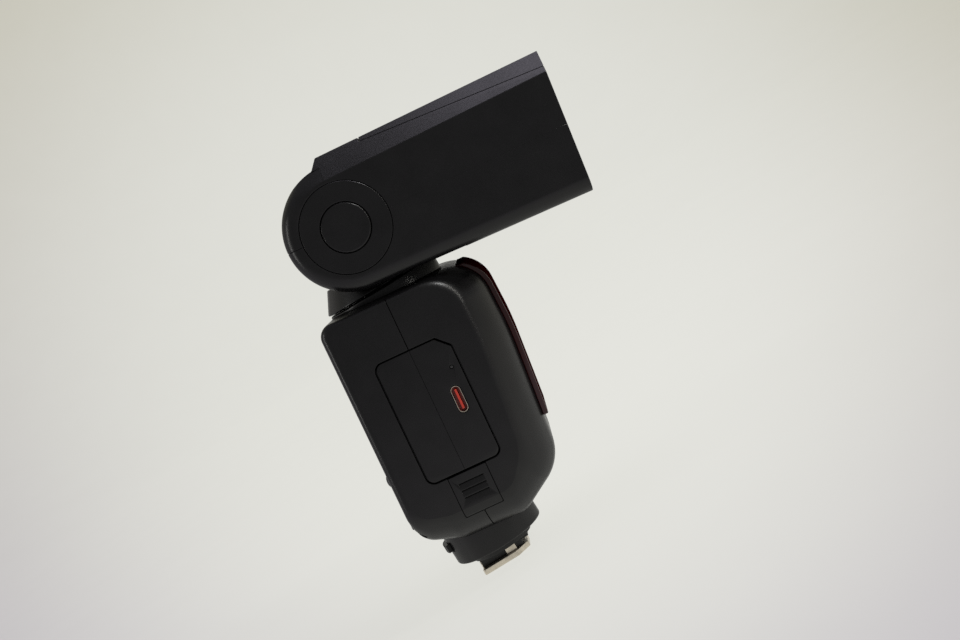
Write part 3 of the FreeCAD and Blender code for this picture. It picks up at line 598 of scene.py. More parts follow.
def casing_corners(half_width, inset):
    """Corners of the casing's side outline at one distance from the middle plane."""
    back = CASE_BACK + fall(half_width, CASE_HALF - BACK_R, BACK_R) + inset
    top = CASE_TOP - fall(half_width, CASE_HALF - TOP_R, TOP_R) - inset
    front = -fall(half_width, CASE_FLAT_HALF, FRONT_WRAP_R) - inset
    front -= fall(half_width, CASE_HALF - FRONT_R, FRONT_R)
    low = fall(half_width, BOTTOM_FLAT_HALF, BOTTOM_WRAP_R) + inset
    return [
        (back, top, 4.6 - inset / 2),
        (33.4 + front, top, 12.0 - inset),
        (34.4 + front, 74.0, 120.0),
        (31.4 + front, 27.0 + 0.9 * low, 15.0 - inset),
        (14.0, CASE_BOTTOM - 0.2 + low, 8.0 - inset),
        (-8.0, CASE_BOTTOM + low, 10.0),
        (back, 21.4 + 0.8 * low, 7.0 - inset / 2),
    ]


def casing_solid(inset):
    """Casing's outer solid, or its hollow when inset is the wall thickness."""
    span = CASE_HALF - CASE_FLAT_HALF
    count = 22
    spread = [CASE_FLAT_HALF + span * math.sin(math.pi / 2 * k / count) for k in range(count + 1)]
    squeeze = (span - inset) / span
    rings = []
    for side in (-1, 1):
        for half_width in spread[::side]:
            level = side * (CASE_FLAT_HALF + (half_width - CASE_FLAT_HALF) * squeeze)
            outline = rounded(casing_corners(half_width, inset), 12)
            rings.append([(p.x, level, p.y) for p in outline])
    return loft(rings)


def hole_in_back(y, z, radius):
    return x_rod(radius, y, z, CASE_BACK - 3, CASE_BACK + 5)


def door_outline(gap, low, high):
    """Battery door's outline, with its cut corner, grown by gap."""
    x0, x1, z0, z1 = DOOR[0] - gap, DOOR[1] + gap, DOOR[2] - gap, DOOR[3] + gap
    trim = 4.2
    soft, tight = 2.6 + gap, 0.9 + gap
    corners = [(x0, z0, soft), (x1, z0, soft), (x1, z1 - trim, tight), (x1 - trim, z1, tight), (x0, z1, soft)]
    return slab(corners, "xz", low, high)


def latch_room(gap, reach, inner, top):
    """Space for the latch. Its lower face runs along the latch's slope and its lower corners are round."""
    low, corner = LATCH[2] - gap, 1.4
    x0, x1 = LATCH[0] - gap, LATCH[1] + gap
    start = (LATCH_Y - LATCH_LEAD * LATCH_SLOPE[0], low - LATCH_LEAD * LATCH_SLOPE[1])
    end = (LATCH_Y + reach * LATCH_SLOPE[0], low + reach * LATCH_SLOPE[1])
    points = [start, end, (inner, end[1]), (inner, top), (-45.0, top), (-45.0, start[1])]
    upper = [(x1, top + 1, 0), (x0, top + 1, 0)]
    face = slab([(x0, low - 2.6, 0), (x1, low - 2.6, 0)] + upper, "xz", -46, -27)
    rounded_face = slab([(x0, low - 0.6, corner), (x1, low - 0.6, corner)] + upper, "xz", -46, LATCH_Y)
    inner_face = common(face, block(-90, 90, LATCH_Y, 0, 0, 90))
    return common(sharp(points, "yz", x0, x1), fuse(rounded_face, inner_face))


def port_pocket():
    """Opening for the side port cover, squarer and wider along the hinged edge."""
    x0, x1, z0, z1 = PORTS[0] - 0.5, PORTS[1] + 0.2, PORTS[2] - 0.2, PORTS[3] + 0.2
    return slab([(x0, z0, 0.4), (x1, z0, 1.4), (x1, z1, 1.4), (x0, z1, 0.4)], "xz", 33, 40)


def housing_openings():
    """Everything that is cut out of the casing's walls."""
    cuts = [
        plate(LCD[0] - 0.15, LCD[1] + 0.15, LCD[2] - 0.15, LCD[3] + 0.15, 2.2, "yz", -30, -15),
        hole_in_back(0, DIAL_Z, DIAL_R + BUTTON_GAP),
        hole_in_back(TEST_Y, LOWER_Z, TEST_R + BUTTON_GAP),
        pad(SWITCH_Y, LOWER_Z, 5.2, 2.4, 1.5, "yz", -30, -15),
        door_outline(DOOR_GAP, -45, -33),
        latch_room(0.15, LATCH_REACH + LATCH_TRAVEL + 0.6, -27.5, 39.6),
        port_pocket(),
        moved(z_rod(12.4, PAN_X, 0, 90, 110), CASING.inverted()),
        moved(z_rod(13.5, COLLAR_X, 0, 8, 24), CASING.inverted()),
    ]
    half, tall = FUNCTION_SIZE[0] / 2 + BUTTON_GAP, FUNCTION_SIZE[1] / 2 + BUTTON_GAP
    for y in FUNCTION_Y:
        cuts.append(pad(y, FUNCTION_Z, half, tall, 1.2, "yz", -30, -15))
    for y in (-SMALL_BUTTON_Y, SMALL_BUTTON_Y):
        cuts.append(hole_in_back(y, SMALL_BUTTON_Z, SMALL_BUTTON_R + BUTTON_GAP))
    for y, z in SCREWS:
        cuts.append(x_rod(1.25, y, z, -30, 11.5, 32))
        cuts.append(x_rod(2.3, y, z, -30, -17.5, 48))
    return cuts


def screw_bosses():
    """Bosses for the casing screws, on ribs from the roof and from the floor."""
    bosses = []
    for y, z in SCREWS:
        far = CASE_TOP if z > 60 else CASE_BOTTOM
        rib = block(-20.5, 12.0, y - 0.8, y + 0.8, min(z, far), max(z, far))
        boss = fuse(x_rod(2.9, y, z, -20.5, 12.0, 48), rib)
        bosses.append(common(boss, casing_solid(0.4)))
    return bosses


def housings():
    """Rear and front half shells."""
    shell = cut(casing_solid(0.0), casing_solid(WALL))
    shell = fuse(shell, screw_bosses())
    shell = cut(shell, housing_openings())
    big = 90
    front = common(clone(shell), block(SEAM_X + SEAM_GAP / 2, big, -big, big, 0, 2 * big))
    rear = common(shell, block(-big, SEAM_X - SEAM_GAP / 2, -big, big, 0, 2 * big))
    finish_piece(rear, "rear_shell", CASING, "casing", SHELL, ["rear_housing"], 0.22)
    finish_piece(front, "front_shell", CASING, "casing", SHELL, ["front_housing"], 0.22)


def cross_screw(radius, height, start, axis):
    """Screw head with a domed top and a cross recess. The head rises along axis from start."""
    profile = [(radius, 0), (radius, height * 0.55), (radius * 0.82, height * 0.9), (radius * 0.5, height)]
    head = lathe(profile, (0, 0, 0), (0, 0, 1), 40)
    arm, width, depth = radius * 0.62, radius * 0.13, height * 0.45
    slots = [block(-u, u, -v, v, depth, height + 1) for u, v in ((arm, width), (width, arm))]
    head = cut(head, slots)
    turn = Vector(axis).to_track_quat("Z", "Y").to_matrix().to_4x4()
    return moved(head, Matrix.Translation(Vector(start)) @ turn)


def casing_screws():
    for number, (y, z) in enumerate(SCREWS, 1):
        head = cross_screw(2.0, 1.4, (-17.6, y, z), (-1, 0, 0))
        stem = x_rod(1.15, y, z, -17.7, 11.0, 32)
        screw = fuse(head, stem)
        finish_piece(screw, "casing_screw_%d" % number, CASING, "casing", DARK_STEEL,
                     ["casing_screws"], 0.05)


def front_window():
    """Dark red window that stands proud of the front."""
    grown = [(10, 100.9, 0), (34.8, 100.9, 12.5), (36.0, 74.0, 120.0), (34.0, 42.4, 0), (10, 42.4, 0)]
    window = cut(slab(grown, "xz", -19.5, 19.5, 24), casing_solid(0.0))
    window = common(window, block(26.6, 60, -19.5, 19.5, 42.4, 99.3))
    finish_piece(window, "sensor_window", CASING, "casing", RED_WINDOW, ["front_window"], 0.35)


def display():
    """Display window with its black mask, over the display's own face."""
    y0, y1, z0, z1 = LCD
    glass = plate(y0, y1, z0, z1, 2.0, "yz", -21.7, -20.75)
    finish_piece(glass, "display_glass", CASING, "casing", DISPLAY_GLASS,
                 ["display_window"], 0.18)
    glass.visible_shadow = False  # lets the lamps through to the display
    mask = plate(y0 + 0.1, y1 - 0.1, z0 + 0.1, z1 - 0.1, 1.9, "yz", -20.7, -20.3)
    mask = cut(mask, plate(y0 + 3.2, y1 - 3.2, z0 + 3.6, z1 - 2.8, 0.8, "yz", -22, -19))
    finish_piece(mask, "display_mask", CASING, "casing", DISPLAY_MASK, (), 0.05)
    face = block(-20.2, -17.4, -23.6, 23.6, 61.6, 91.0)
    finish_piece(face, "display_face", CASING, "casing", DISPLAY_FACE, ["display_module"], 0.1)


# ---------------------------------------------------------------- battery, in the casing frame
def battery():
    door = door_outline(0.0, -36.4, -34.5)
    port_hole = pad(USB_X, USB_Z, 1.75, 4.6, 1.7, "xz", -40, -28)
    lamp_hole = rod(0.6, (LAMP_X, -40, LAMP_Z), (LAMP_X, -30, LAMP_Z), 32)
    groove = block(SEAM_X - 0.11, SEAM_X + 0.11, -37.0, -35.8, 30, 90)
    door = cut(door, [port_hole, lamp_hole, groove])
    finish_piece(door, "battery_door_panel", CASING, "battery", SHELL, ["battery_door"], 0.4,
                 lambda middle: abs(middle.x - SEAM_X) < 0.2)
    shell = pad(USB_X, USB_Z, 1.62, 4.47, 1.6, "xz", -36.38, -29.8)
    inside = pad(USB_X, USB_Z, 1.42, 4.27, 1.4, "xz", -40, -30.3)
    shell = cut(shell, inside)
    finish_piece(shell, "usb_port_shell", CASING, "battery", NICKEL, ["usb_shell"], 0.08)
    tongue = pad(USB_X, USB_Z, 0.38, 3.4, 0.3, "xz", -36.0, -30.35)
    finish_piece(tongue, "usb_port_tongue", CASING, "battery", USB_RED, ["usb_tongue"], 0.1)
    floor = pad(USB_X, USB_Z, 1.38, 4.23, 1.36, "xz", -34.0, -30.4)
    floor = cut(floor, pad(USB_X, USB_Z, 0.42, 3.44, 0.3, "xz", -40, -30.0))
    finish_piece(floor, "usb_port_insert", CASING, "battery", USB_DEEP_RED, (), 0.06)
    # The charge lamp is near black, as painted shade of its hole.
    lamp = puck(0.55, (LAMP_X, -34.5, LAMP_Z), (LAMP_X, -36.1, LAMP_Z), 0.2)
    finish_piece(lamp, "battery_lamp", CASING, "battery", HOLE_SHADE_LAMP, ["charge_lamp"], 0.0)
    x0, _, z0, z1 = DOOR
    case = door_outline(-0.3, -34.4, 31.5)
    case = cut(case, door_outline(-1.8, -50, 30.3))
    label = plate(-20.0, 18.0, z0 + 8, z1 - 8, 1.5, "yz", x0 + 0.2, x0 + 0.5)
    case = cut(case, label)
    finish_piece(case, "battery_pack", CASING, "battery", TRIM, ["battery_case"], 0.35)


def latch():
    """Ribbed latch that follows the casing's surface and fills its pocket."""
    room = latch_room(0.0, LATCH_REACH, -30.0, LATCH[3])
    skin = cut(common(room, casing_solid(0.0)), casing_solid(WALL))
    grooves = []
    for z in (36.3, 33.9, 31.5):
        wedge = sharp([(-36.9, z), (-35.75, z), (-36.9, z - 2.0)], "yz", -1.4, 7.2)
        grooves.append(wedge)
    skin = cut(skin, grooves)
    finish_piece(skin, "battery_latch_slide", CASING, "latch", SHELL, ["battery_latch"], 0.16)


# ---------------------------------------------------------------- rear controls, in the casing frame
def function_keys():
    half, tall = FUNCTION_SIZE[0] / 2, FUNCTION_SIZE[1] / 2
    for number, y in enumerate(FUNCTION_Y, 1):
        cap = pad(y, FUNCTION_Z, half, tall, 1.0, "yz", -22.1, -17.0)
        dish = lathe([(9.0, 0), (9.0, 20)], (-22.1 - 8.75, y, FUNCTION_Z - 10), (0, 0, 1), 160)
        cap = cut(cap, dish)
        finish_piece(cap, "function_key_%d" % number, CASING, "function_key_%d" % number, KEY,
                     ["function_button_%d" % number], 0.3)


def small_keys():
    for name, y in (("mode", -SMALL_BUTTON_Y), ("menu", SMALL_BUTTON_Y)):
        crown = [(SMALL_BUTTON_R * math.cos(a), 5.2 + 0.95 * math.sin(a))
                 for a in (math.radians(9 * k) for k in range(10))]
        key = lathe([(SMALL_BUTTON_R, 0)] + crown, (-17.0, y, SMALL_BUTTON_Z), (-1, 0, 0), 64)
        finish_piece(key, name + "_key_cap", CASING, name + "_key", KEY, [name + "_button"], 0.0)
    test = puck(TEST_R, (-17.0, TEST_Y, LOWER_Z), (-22.0, TEST_Y, LOWER_Z), 0.45)
    finish_piece(test, "test_key_cap", CASING, "test_key", TEST_RED, ["test_button"], 0.0)


def power_switch():
    knob = plate(SWITCH_Y - 5.0, SWITCH_Y - 0.4, LOWER_Z - 2.2, LOWER_Z + 2.2, 1.2, "yz", -21.9, -19.0)
    knob = cut(knob, [block(-23, -21.6, SWITCH_Y - 3.9 + 0.8 * k, SWITCH_Y - 3.5 + 0.8 * k,
                            LOWER_Z - 1.6, LOWER_Z + 1.6) for k in range(4)])
    finish_piece(knob, "power_switch_knob", CASING, "switch", TRIM, ["power_switch"], 0.12)


def dial():
    """Control wheel with a knurled rim and raised pips, and the set button in its middle."""
    profile = [(DIAL_R, 0), (DIAL_R, 3.2), (DIAL_R - 0.5, 3.8), (DIAL_R - 1.4, 4.15), (DIAL_R - 2.4, 4.2),
               (DIAL_R - 4.0, 3.95), (SET_R + 1.2, 3.9), (SET_R + 0.8, 4.1)]
    wheel = lathe(profile, (-18.0, 0, DIAL_Z), (-1, 0, 0), 144)
    wheel = cut(wheel, x_rod(SET_R + 0.2, 0, DIAL_Z, -30, -10))
    teeth = 48
    notches = []
    for k in range(teeth):
        angle = 2 * math.pi * k / teeth
        y, z = (DIAL_R + 0.15) * math.sin(angle), DIAL_Z + (DIAL_R + 0.15) * math.cos(angle)
        notches.append(x_rod(0.42, y, z, -17.0, -23.0, 12))
    wheel = cut(wheel, notches)
    finish_piece(wheel, "dial_wheel", CASING, "dial", TRIM, ["control_dial"], 0.08)
    for k in range(4):
        angle = math.pi / 2 * k
        pip = sharp([(-0.9, 8.6), (0.9, 8.6), (0.0, 10.0)], "yz", -22.12, -21.7)
        pip = moved(pip, Matrix.Translation((0, 0, DIAL_Z)) @ Matrix.Rotation(angle, 4, "X"))
        finish_piece(pip, "dial_mark_%d" % (k + 1), CASING, "dial", MARK, (), 0.03)
    crown = [(SET_R - 0.35 + 0.35 * math.cos(a), 4.55 + 0.35 * math.sin(a))
             for a in (math.radians(15 * k) for k in range(7))]
    dish = [(SET_R * f - 0.3, 4.9 - 0.55 * (1 - f * f)) for f in (0.85, 0.7, 0.5, 0.3, 0.12)]
    key = lathe([(SET_R, 0)] + crown + dish, (-17.0, 0, DIAL_Z), (-1, 0, 0))
    finish_piece(key, "set_key_cap", CASING, "set_key", KEY, ["set_button"], 0.0)


def side_ports():
    """Rubber cover over the side sockets, with a finger lip, and the sockets behind it."""
    x0, x1, z0, z1 = PORTS
    hinge_x, hinge_y, clip = x0 + PORT_HINGE_R, 35.1 + PORT_HINGE_R, 0.9
    corners = [(hinge_x, z0 + clip, 0), (hinge_x + clip, z0, 0), (x1, z0, 1.2), (x1, z1, 1.2)]
    corners += [(hinge_x + clip, z1, 0), (hinge_x, z1 - clip, 0)]
    cover = slab(corners, "xz", 35.1, 36.4)
    cover = fuse(cover, z_rod(PORT_HINGE_R, hinge_x, hinge_y, z0 + clip, z1 - clip, 32))
    lip = plate(x1 - 1.6, x1 + 0.2, 63.0, 69.0, 0.6, "xz", 36.0, 37.5)
    cover = cut(cover, lip)
    finish_piece(cover, "port_cover_flap", CASING, "cover", RUBBER, ["port_cover"], 0.25)
    holder = block(x0, x1 - 1.2, 26.5, 33.0, z0 + 1, z1 - 1)
    holder = cut(holder, [plate(19.3, 22.5, 55.6, 64.6, 1.55, "xz", 27.5, 40),
                          rod(1.3, (20.9, 27.5, 72.6), (20.9, 40, 72.6), 48)])
    finish_piece(holder, "side_socket_block", CASING, "casing", TRIM, ["side_sockets"], 0.15)
    tongue = block(20.6, 21.2, 27.6, 32.4, 57.0, 63.2)
    finish_piece(tongue, "side_socket_tongue", CASING, "casing", BRASS, (), 0.08)


# ---------------------------------------------------------------- foot, in the upright frame
def sector(outer, inner, low, high, start, sweep, steps=40):
    """Part of a ring about the collar's axis, from start through sweep, in degrees."""
    angles = [math.radians(start + sweep * k / steps) for k in range(steps + 1)]
    points = [(COLLAR_X + outer * math.cos(a), outer * math.sin(a)) for a in angles]
    points += [(COLLAR_X + inner * math.cos(a), inner * math.sin(a)) for a in reversed(angles)]
    return sharp(points, "xy", low, high)


def collar_rod(radius, low, high):
    return z_rod(radius, COLLAR_X, 0, low, high)


def foot_collar():
    profile = [(COLLAR_R - 0.7, 0), (COLLAR_R - 0.2, 0.2), (COLLAR_R, 0.7), (COLLAR_R, 17.1)]
    drum = lathe(profile, (COLLAR_X, 0, COLLAR_Z), (0, 0, 1), 160)
    drum = cut(drum, moved(casing_solid(0.0), CASING))
    drum = cut(drum, [collar_rod(13.6, COLLAR_Z + 2.4, 30), collar_rod(9.5, 0, 30)])
    drum = cut(drum, sector(20, 12, LEVER_Z[0] - 0.25, LEVER_Z[1] + 0.25, 92, 116, 80))
    finish_piece(drum, "foot_collar_drum", UPRIGHT, "casing", SHELL, ["foot_collar"], 0.25)


def lock_lever():
    """Locking lever: a hub in the collar, and a serrated thumb tab that stands out of its slot."""
    hub = cut(collar_rod(13.2, *LEVER_Z), collar_rod(10.9, 0, 30))
    tab = sector(17.9, 12.0, LEVER_Z[0], LEVER_Z[1], 156, 48)
    lever = fuse(hub, tab)
    notches = []
    for k in range(9):
        angle = math.radians(163 + 4.25 * k)
        x, y = COLLAR_X + 18.0 * math.cos(angle), 18.0 * math.sin(angle)
        notches.append(z_rod(0.38, x, y, 5, 22, 16))
    lever = cut(lever, notches)
    finish_piece(lever, "lock_lever_ring", UPRIGHT, "lever", TRIM, ["lock_lever"], 0.15)


def shoe():
    """Plastic shoe block, plated shoe plate and contact pins, with wells for the lock pin."""
    neck = block(-8.4, 7.4, -6.0, 6.0, FOOT_T + 0.05, 4.6)
    insulator = plate(-6.3, 3.0, -4.9, 4.9, 1.0, "xy", 0.1, 3.0)
    disc = collar_rod(11.2, 4.6, COLLAR_Z - 0.05)
    column = collar_rod(9.3, COLLAR_Z - 0.1, 11.8)
    catch = block(6.5, 10.2, -5.2, 5.2, 3.4, 6.4)
    body = fuse(neck, [insulator, disc, column, catch])
    wells = [z_rod(radius + 0.06, x, y, -1, 9.5, 32) for x, y, radius in PINS]
    wells.append(z_rod(1.16, LOCK_PIN_X, 0, -1, 20, 32))
    body = cut(body, wells)
    finish_piece(body, "shoe_insulator", UPRIGHT, "casing", TRIM, ["shoe_block"], 0.2)

    hx, hy = FOOT_HALF_X, FOOT_HALF_Y
    outline = [(-hx, -hy, 0.8), (4.4, -hy, 0.6), (hx, -4.8, 0.8)]
    outline += [(u, -v, radius) for u, v, radius in reversed(outline)]
    base = slab(outline, "xy", 0, FOOT_T)
    base = cut(base, [plate(-6.5, 3.2, -5.1, 5.1, 1.1, "xy", -1, 5),
                      z_rod(1.35, LOCK_PIN_X, 0, -1, 5, 32)])
    lip = block(-hx, -hx + 0.5, -5.0, 5.0, FOOT_T - 0.4, 4.3)
    tabs = both_sides(block(0.8, 4.8, 6.1, 6.9, FOOT_T - 0.4, 4.4))
    base = fuse(base, [lip] + tabs)
    finish_piece(base, "shoe_plate_metal", UPRIGHT, "casing", NICKEL, ["shoe_plate"], 0.22)

    for number, (x, y, radius) in enumerate(PINS, 1):
        dome = [(radius * math.sin(a), 0.35 * (1 - math.cos(a)))
                for a in (math.radians(10 + 16 * k) for k in range(6))]
        flange = radius + 0.4
        profile = dome + [(radius, 6.1), (flange, 6.1), (flange, 6.9), (radius, 6.9), (radius, 8.7)]
        pin = lathe(profile, (x, y, -0.7), (0, 0, 1), 40)
        replaced = ["contact_pins"] if number == 1 else []
        finish_piece(pin, "contact_pin_%d" % number, UPRIGHT, "contacts", BRASS, replaced, 0.0)


# ---------------------------------------------------------------- swivel, in the upright frame
def pivot_rod(radius, half):
    """Cylinder along the tilt axis, centred on the middle plane."""
    return rod(radius, (PIVOT_X, -half, PIVOT_Z), (PIVOT_X, half, PIVOT_Z), 160)


def swivel():
    wedge = lathe([(20.4, 0), (20.4, 13.7), (20.0, 14.1)], (PAN_X, 0, 88), (0, 0, 1), 160)
    wedge = cut(wedge, moved(casing_solid(0.0), CASING))
    spigot = z_rod(12.3, PAN_X, 0, 95.4, PAN_Z - 0.4)
    wedge = cut(fuse(wedge, spigot), z_rod(10.96, PAN_X, 0, 80, 110))
    finish_piece(wedge, "swivel_fixed_collar", UPRIGHT, "casing", SHELL, ["swivel_collar"], 0.2)

    cone_top = 110.3
    tall = cone_top - PAN_Z
    profile = [(20.3, 0), (20.75, 0.15), (20.75, 0.6)] + [
        (20.75 - 4.05 * t, 0.6 + (tall - 0.6) * t) for t in (0.25, 0.5, 0.75, 1.0)]
    cone = lathe(profile, (PAN_X, 0, PAN_Z), (0, 0, 1), 160)
    cone = cut(cone, cut(pivot_rod(HEAD_R + 0.9, 30), pivot_rod(40, BARREL_HALF)))
    cone = fuse(cone, z_rod(10.9, PAN_X, 0, 95.3, PAN_Z + 0.5))
    cone = cut(cone, [z_rod(7.0, PAN_X, 0, 80, 112), pivot_rod(BARREL_R, BARREL_HALF)])
    finish_piece(cone, "swivel_turning_base", UPRIGHT, "neck", SHELL, ["swivel_base"], 0.22)

    stem = [(0.5, cone_top), (29.3, cone_top), (31.5, 118.0), (31.5, 126.0), (0.0, 126.0), (-1.0, 118.0)]
    stem = sharp(stem, "xz", -BARREL_HALF, BARREL_HALF)
    stem = common(stem, fuse(pivot_rod(BARREL_R, 30), block(0.5, 29.3, -30, 30, cone_top, 116)))
    seat = fuse(z_rod(16.7, PAN_X, 0, cone_top, 114), block(-50, 50, -50, 50, 113.9, 160))
    stem = common(stem, seat)
    barrel = fuse(pivot_rod(BARREL_R, BARREL_HALF), stem)
    barrel = cut(barrel, [pivot_rod(BARREL_R - 2.2, BARREL_HALF - 2.2),
                          z_rod(7.0, PAN_X, 0, 100, 122), pivot_rod(4.52, 30)])
    finish_piece(barrel, "tilt_barrel", UPRIGHT, "neck", SHELL, ["yoke"], 0.25)


# ---------------------------------------------------------------- head, in the head frame
def head_section(x, top, low, shoulder):
    """Cross-section of the head, widest at the seam, with chamfered shoulders above."""
    side = HEAD_HALF - SHOULDER_INSET
    corners = [(HEAD_HALF, 0, 0), (side, shoulder, 0), (SHOULDER_HALF, top, 0), (-SHOULDER_HALF, top, 0),
               (-side, shoulder, 0), (-HEAD_HALF, 0, 0), (-HEAD_HALF, low, HEAD_EDGE),
               (HEAD_HALF, low, HEAD_EDGE)]
    return [(x, p.x, p.y) for p in rounded(corners)]


def head_back():
    """Round back of the head, in sections about the tilt axle, and a degree past it at each end to
    overlap the front part. Its rim is chamfered at the top, as there, and grows round further back."""
    flat, inner = HEAD_HALF - HEAD_EDGE, HEAD_R - HEAD_EDGE
    chamfer_low = Vector((HEAD_HALF - SHOULDER_INSET, AXLE_SHOULDER))
    chamfer_high = Vector((AXLE_CHAMFER_HALF, HEAD_R))
    rings = []
    for degrees in [-1] + list(range(0, 181, 3)) + [181]:
        angle = math.radians(degrees)
        back = min(1.0, max(0.0, (degrees - 8) / 52))
        back = back * back * (3 - 2 * back)
        rim = []
        for k in range(ARC_STEPS + 1):
            t = math.pi / 2 * k / ARC_STEPS
            round_point = Vector((flat + HEAD_EDGE * math.cos(t), inner + HEAD_EDGE * math.sin(t)))
            chamfer_point = chamfer_low.lerp(chamfer_high, k / ARC_STEPS)
            rim.append(chamfer_point.lerp(round_point, back))
        right = [(-HEAD_HALF, 0.02)] + [(-p.x, p.y) for p in rim]
        left = [(p.x, p.y) for p in reversed(rim)] + [(HEAD_HALF, 0.02)]
        rings.append([(-r * math.sin(angle), y, r * math.cos(angle)) for y, r in right + left])
    return fuse(loft(rings), rod(2.0, (0, -HEAD_HALF + 2, 0), (0, HEAD_HALF - 2, 0), 32))


def head_solid():
    """Outer solid of the head: a flared box whose back is round about the tilt axle."""
    tube = loft([head_section(*HEAD_REAR), head_section(*HEAD_MOUTH)])
    profile = [(-0.3, 24.0), (77.6, 24.8), (75.23, -26.0), (0.0, -26.0), (0.0, 20.3), (-2.9, 20.3)]
    front = common(sharp(profile, "xz", -50, 50), tube)
    return fuse(front, common(head_back(), block(-50, 0.3, -50, 50, -50, 50)))


def head_rod(radius, y0, y1):
    return rod(radius, (0, y0, 0), (0, y1, 0), 160)


def head_cavities():
    """Hollows of the head: beam chamber, cheeks, slot for the barrel and room for the neck."""
    chamber = sharp([(-35.6, -16.8), (35.6, -16.8), (35.7, 0), (35.2, 15.4), (32.2, 18.2), (-32.2, 18.2),
                     (-35.2, 15.4), (-35.7, 0)], "yz", 22, 90)
    trench = [(-35.6, -16), (-35.6, -18.4), (-33.6, -20.1), (33.6, -20.1), (35.6, -18.4), (35.6, -16)]
    chamber_low = sharp(trench, "yz", 45, 90)
    cheek = fuse(head_rod(18.7, 20.1, 34.9), block(0, 22.5, 20.1, 34.9, -17.6, 18.2))
    barrel_room = head_rod(BARREL_R + 0.45, -CHEEK_HALF, CHEEK_HALF)
    back_slot = head_rod(HEAD_R + 5, -CHEEK_HALF, CHEEK_HALF)
    reach = 60.0
    keep = [(0, 0)] + [
        (reach * math.cos(math.radians(a)), reach * math.sin(math.radians(a))) for a in (-32, 0, 45, 101)]
    back_slot = cut(back_slot, sharp(keep, "xz", -50, 50))
    neck_room = moved(z_rod(21.6, PAN_X, 0, 90, 111.2, 160),
                      Matrix.Scale(1 / MM, 4) @ HEAD.inverted() @ Matrix.Scale(MM, 4))
    neck_room = cut(neck_room, head_rod(HEAD_R + 0.05, -50, 50))
    relief = block(6, 43, -30, 30, -30, -18.3)
    shoulder = sharp([(7, UNDERSIDE), (31, UNDERSIDE), (36, -30), (7, -30)], "xz", -34.5, 34.5)
    return [chamber, chamber_low, barrel_room, back_slot, neck_room, relief, shoulder] + both_sides(cheek)


def head_shells():
    solid_head = head_solid()
    slope = [(COVER_REAR[0], COVER_REAR[1]), (COVER_FRONT[0] + 5, COVER_FRONT[1] - 0.27), (90, 60),
             (COVER_REAR[0], 60)]
    gap = [(COVER_REAR[0] - 0.4, COVER_REAR[1] - 0.08), (90, COVER_FRONT[1] - 0.76), (90, 60),
           (COVER_REAR[0] - 0.4, 60)]
    slot = block(SLOT[0], 90, -SLOT[1], SLOT[1], SLOT[2], SLOT[3])
    cover = cut(common(clone(solid_head), sharp(slope, "xz", -50, 50)), clone(slot))
    finish_piece(cover, "head_cover", HEAD, "head", SHELL, ["head_top_cover"], 0.12)

    shell = cut(solid_head, head_cavities())
    shell = fuse(shell, [z_rod(2.4, x, y, UNDERSIDE, 16.6, 48) for x, y in HEAD_SCREWS])
    cuts = [slot, rod(BUTTON_R + 0.3, (0, -50, 0), (0, -30, 0)), head_rod(4.56, -30, 30)]
    for sign in (-1, 1):
        cuts.append(rod(CAP_R + 0.15, (0, sign * 36.4, 0), (0, sign * 50, 0), 160))
    for x, y in HEAD_SCREWS:
        cuts.append(z_rod(1.05, x, y, -30, 12, 32))
        cuts.append(z_rod(2.2, x, y, -30, HEAD_SCREW_SEAT, 40))
    shell = cut(shell, cuts)
    big = 100
    upper = common(clone(shell), block(-big, big, -big, big, HEAD_SEAM_GAP / 2, big))
    upper = cut(upper, sharp(gap, "xz", -50, 50))
    lower = common(shell, block(-big, big, -big, big, -big, -HEAD_SEAM_GAP / 2))

    def seam(middle):
        """The seam's edges stay sharp, except round the back."""
        return abs(middle.z) < 0.1 and middle.x > -15.6

    finish_piece(upper, "head_upper", HEAD, "head", SHELL, ["head_upper_shell"], 0.25, seam)
    finish_piece(lower, "head_lower", HEAD, "head", SHELL, ["head_lower_shell"], 0.25, seam)
    for number, (x, y) in enumerate(HEAD_SCREWS, 1):
        screw = fuse(cross_screw(2.0, 0.85, (x, y, HEAD_SCREW_SEAT), (0, 0, -1)),
                     z_rod(0.95, x, y, HEAD_SCREW_SEAT - 0.1, 11, 24))
        finish_piece(screw, "head_screw_%d" % number, HEAD, "head", DARK_STEEL,
                     ["head_screws"], 0.05)


